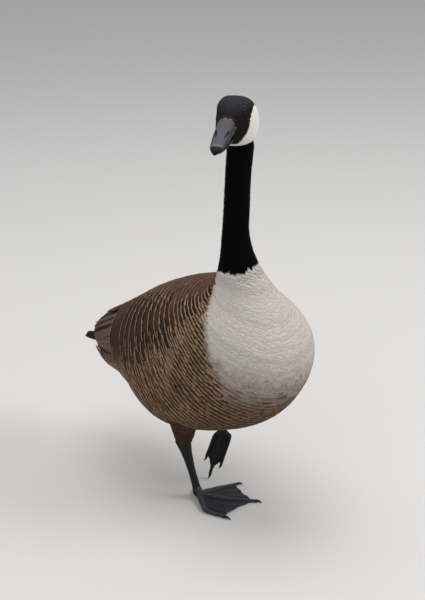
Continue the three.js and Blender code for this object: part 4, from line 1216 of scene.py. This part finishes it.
class GOOSE_OT_wings(Builder, Operator):
    """Folded wings: rows of coverts, tertials, secondaries and the tips of the primaries"""

    bl_idname = "goose.wings"
    bl_label = "Wings"

    def build(self):
        for side, name in SIDES:
            self.coverts(side, name)
            self.quills(side, name)
            self.primaries(side, name)

    def coverts(self, side, name):
        """Scapulars and coverts in long rows, each row of tips on one ring of the form, the rows
        wider apart towards the back and widest before the secondaries."""
        rng = draws("coverts", side)
        u, v = rows_on(BODY, COVERT_ROWS, "covert", rng, (0.0, 125.0))
        keep = (v > covert_upper(u) + 4) & (v < covert_lower(u) - 1) & (u > look_up(BREAST_EDGE, v) + 0.05)
        u, v = u[keep], v[keep]
        size = ease((u - 7) / 4)
        shoulder = -0.25 * ease((50 - v) / 40) * ease((9.6 - u) / 1.5)
        place = u + row_bow(u, v) + shoulder + 0.6 * wobble(u, v * side, rng)
        place = place + rng.normal(0, 0.006, len(u))
        feathers = feather_set(
            place, side * v, rng, length=44 + 44 * size, width=32 + 8 * size, root=-4.4 - 3.8 * size,
            lean=side * 0.018, **FEATHERS["covert"],
        )
        shade = rng.uniform(0, 1, len(u))
        fringe = np.clip(rng.normal(0.92, 0.08, len(u)), 0, 1)
        coat = Coat().add(BODY, feathers, "broad", columns=3, shade=shade, fringe=fringe)
        material = feather_material("covert_feathers")
        coat.finish("coat_coverts_" + name, material, "wing_feathers", "wing_" + name)

    def tier(self, side, rng, count, rings, angles, heights, length, **sizes):
        """Quills spread evenly between the first and the last tip."""
        share = np.linspace(0, 1, count)
        sizes["lean"] *= side
        return feather_set(
            between(rings, share), side * between(angles, share), rng, length=(length, 2.0),
            turn=(0.0, 1.0), tip=between(heights, share), camber=0.8, **sizes,
        )

    def quills(self, side, name):
        rng = draws("quills", side)
        coat = Coat()
        # Painted shade: the number under darkens one half of each tertial, for the shadowed gaps between the
        # tertials.
        under = side * np.array([0.0, 1.0, 0.8, 0.9])
        for tier, striped, dark in (("secondaries", 0.8, 0.0), ("tertials", 0.0, under)):
            feathers = self.tier(side, rng, **TIERS[tier])
            numbers = {"shade": rng.uniform(0, 1, TIERS[tier]["count"]), "striped": striped, "under": dark}
            coat.add(BODY, feathers, "quill", columns=2, thickness=0.7, fringe=0.9, **numbers)
        coat.finish("wing_quills_" + name, feather_material("wing_quills"), "wing_feathers")

    def primaries(self, side, name):
        feathers = self.tier(side, draws("primaries", side), **TIERS["primaries"])
        coat = Coat().add(BODY, feathers, "quill", columns=2, thickness=0.7, fringe=0.5, shade=0.3)
        coat.finish("wing_tips_" + name, feather_material("wing_tips"), "wing_feathers")


class GOOSE_OT_tail(Builder, Operator):
    """The short black tail fan with its white coverts"""

    bl_idname = "goose.tail"
    bl_label = "Tail"

    def build(self):
        self.quills()
        self.coverts()

    def quills(self):
        """A flat fan: each quill runs straight from the root, the outer ones lower and shorter."""
        number = np.arange(TAIL_FAN["count"]) - (TAIL_FAN["count"] - 1) / 2
        tips = number / number[-1] * TAIL_FAN["spread"]
        order = np.abs(number)
        root = -1 - TAIL_FAN["lower"] * order
        feathers = feather_set(
            TAIL_FAN["reach"] - TAIL_FAN["shorter"] * order, tips, draws("fan"), length=54.0, width=10.0,
            turn=-tips * 0.6, root=root, tip=root + TAIL_FAN["overlap"] * np.sign(number), camber=0.4,
        )
        coat = Coat().add(FAN, feathers, "quill", "fan", columns=2, thickness=0.7, fringe=0.2, shade=0.5)
        coat.finish("tail_quills", feather_material("tail_quills"), "tail_feathers", "tail")

    def coverts(self):
        rng = draws("tail")
        u, v = rows_on(TAIL, row_steps(TAIL, (0.2, 2.6), 4.5, 0.0), "tail", rng)
        feathers = feather_set(u + 0.35, v, rng, **FEATHERS["tail"])
        white = np.where(np.abs(np.abs(v) - 95) > 45, 0.95, 0.0)
        shade = rng.uniform(0.3, 1, len(u))
        coat = Coat().add(TAIL, feathers, "body", "tail", white=white, shade=shade, fringe=0.4)
        coat.finish("coat_tail", feather_material("contour_feathers"), "tail_feathers")


class GOOSE_OT_neck_coat(Builder, Operator):
    """Short black velvet of the neck, ragged where it meets the white"""

    bl_idname = "goose.neck_coat"
    bl_label = "Neck coat"

    def build(self):
        rng = draws("neck")
        rows = row_steps(BODY, REACH["neck"], mm("neck_rows"))
        u, v = rows_on(BODY, rows, "neck", rng)
        keep = u < neck_edge(v) + rng.normal(0.0, 0.022, len(u))
        u, v = u[keep], v[keep]
        feathers = feather_set(u, v, rng, **FEATHERS["neck"])
        coat = Coat().add(BODY, feathers, "tuft", shade=rng.uniform(0, 1, len(u)))
        coat.finish("coat_neck", neck_material(), "neck_feathers")


def eye_axes(side):
    """The eye's centre in the head's frame and its axes: line of sight, across and up."""
    aim = unit(np.array([EYE["ahead"], side, EYE["lift"]]))
    across = unit(np.cross([0, 0, 1.0], aim))
    return np.array([EYE["at"], side * EYE["side"], EYE["up"]]), aim, across, np.cross(aim, across)


class GOOSE_OT_head_coat(Builder, Operator):
    """The finest feathering: black face and crown, white cheeks that join under the throat"""

    bl_idname = "goose.head_coat"
    bl_label = "Head coat"

    def build(self):
        rng = draws("head")
        u, v = rows_on(SKULL, row_steps(SKULL, (8.4, 0.25), mm("head_rows")), "head", rng)
        place = SKULL.point(u, v)
        keep = self.clear_of_eyes(place) & (self.line_gap(place) > 0) & self.outside_neck(place)
        u, v, place = u[keep], v[keep], place[keep]
        size = ease((7.5 - u) / 4)
        corner = ease(1.6 - np.abs(np.abs(v) - 42) / 20)
        start = np.where(v < 0, 2.0, 4.2)
        fuller = 2.2 * ease((u - start) / 1.5) * ease((7.6 - u) / 1.5) * corner
        feathers = feather_set(
            u, v, rng, length=4.5 + 5.5 * size, width=2.6 + 2.6 * size, turn=(0.0, 8.0),
            root=-1.8 + fuller, tip=(0.25 + fuller, 0.2), camber=(0.25, 0.1), curl=(0.05, 0.15),
        )
        numbers = {
            "white": cheek_share(place) > rng.uniform(0.3, 0.7, len(u)),
            "shade": rng.uniform(0, 1, len(u)),
            # crown is the share of the painted sheen, rising up the head.
            "crown": ease((to_head(place)[:, 2] - 2) / 14),
            "rust": self.near_bill(place, 13.0, 0.0) * rng.uniform(0.0, 0.7, len(u)),
            "speck": self.near_bill(place, 3.6, -14.0) * (rng.uniform(0, 1, len(u)) < 0.34),
            "brow": self.brow(place),
        }
        coat = Coat().add(SKULL, feathers, "tuft", "head", towards=-1.0, **numbers)
        coat.finish("coat_head", head_material(), "head_feathers")

    def clear_of_eyes(self, place):
        clear = np.ones(len(place), bool)
        for side, _ in SIDES:
            centre, aim, _, _ = eye_axes(side)
            away = to_head(place) - centre
            across = np.linalg.norm(away - np.outer(away @ aim, aim), axis=-1)
            clear &= (across > EYE["opening"] + LID["gap"]) | (away @ aim < 0)
        return clear

    def line_gap(self, place):
        """Distance behind the line where the feathers meet the bill; it runs back below the mouth."""
        local = to_head(place)
        return BILL["root_at"] - 0.5 - 7.0 * ease((BILL["mouth"] + 4 - local[:, 2]) / 6) - local[:, 0]

    def near_bill(self, place, reach, lowest):
        """1 at the bill's feather line above a height, 0 farther back than reach millimetres."""
        close = ease((reach - self.line_gap(place)) / reach * 2)
        return close * ease((to_head(place)[:, 2] - lowest) / 4 + 0.5)

    def brow(self, place):
        """A small pale mark behind and above each eye: a painted highlight on the brow."""
        local = to_head(place)
        away = np.hypot((local[:, 0] - EYE["at"] + 5.0) / 3.2, (local[:, 2] - EYE["up"] - 7.6) / 1.4)
        return ease(1.4 - away) * (np.abs(local[:, 1]) > 8)

    def outside_neck(self, place):
        """Tufts that would start inside the top of the neck are left out."""
        middle = BODY.point(np.full(2, 0.6), np.array([0.0, 180.0])).mean(0)
        away = np.linalg.norm((place - middle)[:, :2], axis=-1)
        return (away > 17) | (place[:, 2] > 640)


class GOOSE_OT_thigh_coat(Builder, Operator):
    """Short brown feathers down to the ankle"""

    bl_idname = "goose.thigh_coat"
    bl_label = "Thigh coat"

    def build(self):
        coat = Coat()
        rng = draws("thighs")
        for side, thigh in THIGHS.items():
            u, v = rows_on(thigh, row_steps(thigh, (0.95, 0.04), 3.5), "thigh", rng)
            feathers = feather_set(u, v, rng, **FEATHERS["thigh"])
            shade = rng.uniform(0, 1, len(u))
            coat.add(thigh, feathers, "tuft", side, towards=-1.0, fringe=0.3, shade=shade)
        coat.finish("coat_thighs", feather_material("thigh_down"), "thigh_feathers")


class GOOSE_OT_bill(Builder, Operator):
    """Slate bill in two halves with a dark nail, nostrils and the line of the mouth"""

    bl_idname = "goose.bill"
    bl_label = "Bill"

    def build(self):
        material = self.material()
        for name, half in BILL_HALVES.items():
            self.half(name, material, *half)

    def half(self, name, material, rings, roundness, reach):
        surface = head_ring_point(rings, roundness)
        form = Form(surface, (3.0, 60.0), in_head([60, 0, -22]))
        upper = name == "upper"

        def carved(u, v):
            away = self.nostril(to_head(surface(u, v)))
            slot = NOSTRIL["depth"] * ease((1.25 - away) / 0.5)
            lip = NOSTRIL["lip"] * np.exp(-((away - 1.5) / 0.35) ** 2)
            return form.raised(u, v, (lip - slot) * upper)

        points, faces = closed_tube(carved, reach, BILL["rings"], BILL["sides"])
        bill = new_object("bill_" + name + "_horn", points, faces, material)
        angle = np.abs(np.tile(np.linspace(-180, 180, BILL["sides"], endpoint=False), BILL["rings"]))
        # side: the share of painted shade, rising down the bill's sides.
        set_number(bill, "side", np.append(ease((angle - 36) / 34), [0.5, 0.5]))
        # slot: the nostril slots, which are painted near black as the shade inside them.
        set_number(bill, "slot", ease((1.35 - self.nostril(to_head(points))) / 0.3) * upper)
        set_number(bill, "low", np.full(len(points), 1.0 - upper))
        finish_piece(bill, "bill", "bill_" + name)

    def nostril(self, local):
        """Distance from the middle of the nearer nostril, 1 on the edge of its long slot."""
        c, s = cos_of(NOSTRIL["tilt"]), sin_of(NOSTRIL["tilt"])
        ahead, out = local[..., 0] - NOSTRIL["at"], np.abs(local[..., 1]) - NOSTRIL["out"]
        long, short = ahead * c - out * s, ahead * s + out * c
        away = np.hypot(long / (NOSTRIL["length"] / 2), short / (NOSTRIL["width"] / 2))
        return np.where(local[..., 2] > NOSTRIL["above"], away, 9.0)

    def material(self):
        """Slate with painted shade that darkens the sides, so that the ridge reads as lit, and a painted
        highlight in a pale arc before the black nail; the nostril slots are painted dark as the shade inside
        them.
        """
        paint = Paint("bill_horn")
        cloud, grain, side = paint.noise(45.0, 4.0), paint.noise(420.0), paint.number("side")
        # Painted shade on the sides, over a mottle of slate.
        slate = paint.mix(side * 0.85 + cloud * 0.7 - 0.3, "bill", "bill_shade")
        reach = self.past_nail(paint)
        # Painted highlight: a pale arc on the ridge before the nail.
        ridge_highlight = reach.ramp(-0.005, -0.003) * reach.ramp(0.001, -0.001) * (1.0 - side) * 0.7
        slate = paint.mix(ridge_highlight, slate, colour_of("bill", 1.9))
        tip = reach.ramp(-0.001, 0.0028)
        # The nail and the lower half are black; the nostril slots are painted near black as their shade.
        dark = tip + paint.number("slot") + paint.number("low") * 0.85
        paint.look(paint.mix(dark, slate, "bill_dark"), 0.45 + grain * 0.15 + tip * 0.15, 0.2)
        return paint.bump(grain * 0.5 + cloud, 0.25, 0.0006)

    def past_nail(self, paint):
        """Distance past a plane across the tip of the bill."""
        point = to_row(in_head([BILL["nail_at"], 0, 0]))
        ahead = unit(to_row(in_head([BILL["nail_at"] + 2, 0, 0])) - point)
        inputs = {0: paint.place(), 1: tuple(ahead)}
        reach = paint.node("ShaderNodeVectorMath", {"operation": "DOT_PRODUCT"}, inputs, "Value")
        return reach - float(np.dot(point, ahead))


class GOOSE_OT_eyes(Builder, Operator):
    """Dark glossy eyes in soft lids"""

    bl_idname = "goose.eyes"
    bl_label = "Eyes"

    def build(self):
        gloss = Paint("eye_gloss").look(colour_of("iris"), 0.05, 0.12).material
        lid = horn_material("lid_skin", "neck_black", 0.8, 0.05)
        for side, name in SIDES:
            self.ball(name, gloss, *eye_axes(side))
            self.lids(name, lid, *eye_axes(side))

    def ball(self, name, material, centre, aim, across, up):
        """A sphere about the line of sight."""

        def surface(u, v):
            ring = cos_of(v)[..., None] * up + sin_of(v)[..., None] * across
            local = cos_of(u)[..., None] * aim + sin_of(u)[..., None] * ring
            return in_head(centre + EYE["radius"] * local)

        points, faces = closed_tube(surface, (1, 179), 40, 64)
        finish_piece(new_object("eyeball_" + name, points, faces, material), "eye", "eye_" + name)

    def lids(self, name, material, centre, aim, across, up):
        """A ring whose section is round, flatter towards the eye, with a heavier upper lid."""
        opening, turns, sides = EYE["opening"], LID["turns"], LID["sides"]
        steps = (np.linspace(0, 360, count, endpoint=False) for count in (turns, sides))
        turn, section = np.meshgrid(*steps, indexing="ij")
        heavy = 1.0 + LID["upper"] * np.clip(cos_of(turn), 0, 1)
        out = opening + LID["gap"] + LID["width"] * heavy * cos_of(section) - 0.5 * (heavy - 1)
        rise = math.sqrt(EYE["radius"] ** 2 - opening**2)
        high = rise + 0.1 + LID["height"] * heavy * sin_of(section)
        ring = cos_of(turn)[..., None] * up + sin_of(turn)[..., None] * across
        points = in_head(centre + high[..., None] * aim + out[..., None] * ring).reshape(-1, 3)
        i, j = np.meshgrid(np.arange(turns), np.arange(sides), indexing="ij")
        corners = ((i, j), (i + 1, j), (i + 1, j + 1), (i, j + 1))
        quads = np.stack([(a % turns) * sides + b % sides for a, b in corners], -1).reshape(-1, 4)
        lids = new_object("lids_" + name, points, outward(points, [quads]), material)
        finish_piece(lids, "head_feathers")


class GOOSE_OT_legs(Builder, Operator):
    """Scaly shanks, webbed feet and claws"""

    bl_idname = "goose.legs"
    bl_label = "Legs"

    def build(self):
        skin = self.material()
        horn = horn_material("claw_horn", "claw", 0.4)
        for leg in (LEFT_LEG, RIGHT_LEG):
            self.shank(leg, skin)
            paths = [self.toe_path(leg, *toe[1:]) for toe in leg["toes"]]
            self.foot(leg, paths, skin)
            for toe, path in zip(leg["toes"], paths):
                self.claw(leg, toe[0], path, horn)

    def material(self):
        """Hexagonal scales as cells, paler on their tops and where the number web is high, which paints
        light on the tops of the toes and shade in the folds beside them.
        """
        paint = Paint("leg_skin")
        sizes = {"Vector": paint.place(), "Scale": 420.0, "Randomness": 0.7}
        scales = paint.node("ShaderNodeTexVoronoi", {"feature": "DISTANCE_TO_EDGE"}, sizes).ramp(0.0, 0.12)
        cloud = paint.noise(60.0, 4.0)
        pale = cloud * scales * (paint.number("web") + 0.12)
        paint.look(paint.mix(pale, "leg", "leg_pale"), 0.5, 0.22)
        return paint.bump(scales + cloud * 0.5, 0.4, 0.0005)

    def shank(self, leg, material):
        joint, up = leg_axis(leg)
        top = np.array(leg["ankle"], float) + up * 14
        path = [between((joint, top), share) for share in (0, 0.25, 0.5, 0.75, 1)]
        length = np.linalg.norm(top - joint)
        reach = ((leg["foot_end"] - 3) / length, min(1.0, (leg["thigh_end"] + 6) / length))
        points, faces = closed_tube(tube_point(path, leg["shank_radii"], 0.85), reach, 60, 40)
        shank = new_object("shank_skin_" + leg["side"], points, faces, material)
        finish_piece(shank, "leg_skin", "shank_" + leg["side"])

    def toe_path(self, leg, via, tip):
        joint, via, tip = (np.array(place, float) for place in (leg["joint"], via, tip))
        return np.array([joint, (joint + via) / 2, via, tip])

    def foot(self, leg, paths, material):
        """Toes as jointed tubes, a knuckle, the hind toe and two webs, made one by an even remesh."""
        radii = [TOE["root"] * bulge for bulge in TOE_BULGES] + [TOE["tip"], TOE["tip"] * 0.9]
        shells = [closed_tube(tube_point(path, radii, TOE["squash"]), (0, 1), 50, 24) for path in paths]
        joint, up = leg_axis(leg)
        hind = np.array(leg["hind_tip"], float)
        hind_toe = tube_point([joint, (joint + hind) / 2, hind], [4.5, leg["hind_radius"], 1.2])
        stem = [joint - up * 4, joint + up * 4, joint + up * (leg["foot_end"] + 3)]
        shells.append(closed_tube(hind_toe, (0, 1), 24, 20))
        shells.append(closed_tube(tube_point(stem, [5.5, 8.4, 7.4], 0.9), (0, 1), 20, 28))
        shells += [self.web(*paths[:2]), self.web(*paths[1:])]
        foot = even_object("foot_skin_" + leg["side"], shells, material, VOXEL["foot"], 3)
        # Only the right foot takes the number web, so the left foot stays darker: painted shade for the
        # hanging foot.
        if leg is RIGHT_LEG:
            self.ridges(foot, paths)
        finish_piece(foot, "leg_skin", "foot_" + leg["side"])

    def ridges(self, foot, paths):
        """The number web: high on the tops of the toes, middling on the webs, low in the folds
        beside each toe; it paints light on the toe tops and shade in the folds."""
        places = vertex_places(foot)
        away = np.full(len(places), 99.0)
        for point in np.vstack([spline_rows(path, np.linspace(0, 3, 60)) for path in paths]):
            away = np.minimum(away, np.hypot(*(places[:, :2] - point[:2]).T))
        top = np.exp(-((away / 3.2) ** 2)) * 1.5
        fold = np.exp(-(((away - 6.5) / 2.2) ** 2)) * 0.5
        set_number(foot, "web", np.clip(0.75 + top - fold, 0, 2))

    def web(self, path_a, path_b):
        """A thin sheet between two toes whose free edge curves in and whose middle sags a little."""
        rows, columns = 30, 24
        share = np.linspace(0, 1, columns)
        reach = WEB["reach"] - WEB["notch"] * np.sin(np.pi * share)
        s = WEB["root"] + (reach - WEB["root"]) * np.linspace(0, 1, rows)[:, None]
        place = s * (len(path_a) - 1)
        a, b = spline_rows(path_a, place), spline_rows(path_b, place)
        sheet = a + (b - a) * share[None, :, None]
        along, edge = sheet[-1, columns // 2] - sheet[0, columns // 2], sheet[-1, -1] - sheet[-1, 0]
        normal = unit(np.cross(along, edge))
        waves = WEB["sag"] * np.sin(np.pi * share) + WEB["folds"] * s * np.sin(5 * np.pi * share + 2 * s)
        sheet = sheet - waves[..., None] * normal
        half = normal * WEB["thickness"] / 2
        points = np.stack([sheet + half, sheet - half]).reshape(-1, 3)
        i, j = np.meshgrid(np.arange(rows - 1), np.arange(columns - 1), indexing="ij")
        k = i * columns + j
        top = np.stack([k, k + 1, k + columns + 1, k + columns], -1).reshape(-1, 4)
        low = top[:, ::-1] + rows * columns
        grid = np.arange(rows * columns).reshape(rows, columns)
        rim = np.concatenate([grid[0], grid[1:, -1], grid[-1, -2::-1], grid[-2:0:-1, 0]])
        after = np.roll(rim, -1)
        wall = np.stack([after, rim, rim + rows * columns, after + rows * columns], -1)
        return points, outward(points, [np.vstack([top, low, wall])])

    def claw(self, leg, toe, path, material):
        """A short curved horn that narrows to a blunt tip."""
        end = path[-1]
        run = unit(spline_rows(path, np.array(3.0)) - spline_rows(path, np.array(2.8)))
        down = np.array(leg["claws_point"])
        half = end + run * TOE["claw"] * 0.5 - down * 0.4
        tip = end + run * TOE["claw"] + down * TOE["claw_bend"]
        radii = [TOE["tip"] * 0.86, TOE["tip"] * 0.64, TOE["claw_tip"]]
        points, faces = closed_tube(tube_point([end - run, half, tip], radii, 0.85), (0, 1), 24, 20)
        points[:, 2] = np.maximum(points[:, 2], LOWEST)
        claw = new_object("claw_horn_" + toe + "_" + leg["side"], points, faces, material)
        finish_piece(claw, "claw", "claw_" + leg["side"] + "_" + toe)


class GOOSE_OT_stage(Builder, Operator):
    """Plain pale floor, soft studio light and the camera"""

    bl_idname = "goose.stage"
    bl_label = "Stage"

    def build(self):
        scene = bpy.context.scene
        studio = scene.goose_studio
        self.floor()
        self.world(studio.sky)
        for name, (place, size, share) in LAMPS.items():
            self.area(name, place, size, studio.key * share)
        self.camera(studio)
        scene.view_settings.view_transform = "Standard"

    def link(self, name, data):
        obj = bpy.data.objects.new(name, data)
        bpy.context.scene.collection.objects.link(obj)
        return obj

    def floor(self):
        size = FLOOR_SIZE
        corners = [(-size, -size, 0), (size, -size, 0), (size, size, 0), (-size, size, 0)]
        mesh = bpy.data.meshes.new("floor")
        mesh.from_pydata(corners, [], [(0, 1, 2, 3)])
        paint = Paint("floor_paper")
        colour = paint.mix(paint.noise(300.0, 2.0), (0.6, 0.59, 0.57), (0.64, 0.63, 0.61))
        mesh.materials.append(paint.look(colour, 0.9, 0.5).material)
        self.link("floor", mesh)

    def world(self, strength):
        world = bpy.data.worlds.new("soft_sky")
        world.use_nodes = True
        back = world.node_tree.nodes["Background"]
        back.inputs["Color"].default_value = (0.95, 0.96, 1.0, 1.0)
        back.inputs["Strength"].default_value = strength
        bpy.context.scene.world = world

    def area(self, name, place, size, power):
        """A round soft light that faces the middle of the bird."""
        light = bpy.data.lights.new(name, "AREA")
        light.shape = "DISK"
        light.size = size
        light.energy = power
        lamp = self.link(name, light)
        lamp.location = place
        middle = np.array(LAMPS_AIM) - np.array(place)
        heading = math.atan2(middle[1], middle[0]) - math.pi / 2
        drop = math.acos(-middle[2] / np.linalg.norm(middle))
        lamp.rotation_euler = (drop, 0, heading)

    def camera(self, studio):
        data = bpy.data.cameras.new("camera")
        data.sensor_fit = "VERTICAL"
        data.sensor_height = 36.0
        data.lens = studio.lens
        data.clip_end = 50.0
        camera = self.link("camera", data)
        camera.location = studio.place
        camera.rotation_euler = (math.pi / 2 - studio.pitch, 0, studio.heading)
        bpy.context.scene.camera = camera


OPERATORS = (
    GOOSE_OT_stage,
    GOOSE_OT_skin,
    GOOSE_OT_body_coat,
    GOOSE_OT_wings,
    GOOSE_OT_tail,
    GOOSE_OT_neck_coat,
    GOOSE_OT_head_coat,
    GOOSE_OT_thigh_coat,
    GOOSE_OT_bill,
    GOOSE_OT_eyes,
    GOOSE_OT_legs,
)


class GOOSE_PT_panel(Panel):
    bl_label = "Goose"
    bl_idname = "GOOSE_PT_panel"
    bl_space_type = "VIEW_3D"
    bl_region_type = "UI"
    bl_category = "Goose"

    def draw(self, context):
        for group in (context.scene.goose_coat, context.scene.goose_colours, context.scene.goose_studio):
            for name in group.bl_rna.properties.keys():
                if name not in ("rna_type", "name"):
                    self.layout.prop(group, name)
        for operator in OPERATORS:
            self.layout.operator(operator.bl_idname)


CLASSES = (GooseCoat, GooseColours, GooseStudio, *OPERATORS, GOOSE_PT_panel)


def register():
    for item in CLASSES:
        bpy.utils.register_class(item)
    bpy.types.Scene.goose_coat = PointerProperty(type=GooseCoat)
    bpy.types.Scene.goose_colours = PointerProperty(type=GooseColours)
    bpy.types.Scene.goose_studio = PointerProperty(type=GooseStudio)


def unregister():
    del bpy.types.Scene.goose_coat, bpy.types.Scene.goose_colours, bpy.types.Scene.goose_studio
    for item in reversed(CLASSES):
        bpy.utils.unregister_class(item)


def main():
    register()
    for operator in OPERATORS:
        group, name = operator.bl_idname.split(".")
        getattr(getattr(bpy.ops, group), name)()


if __name__ == "__main__":
    main()
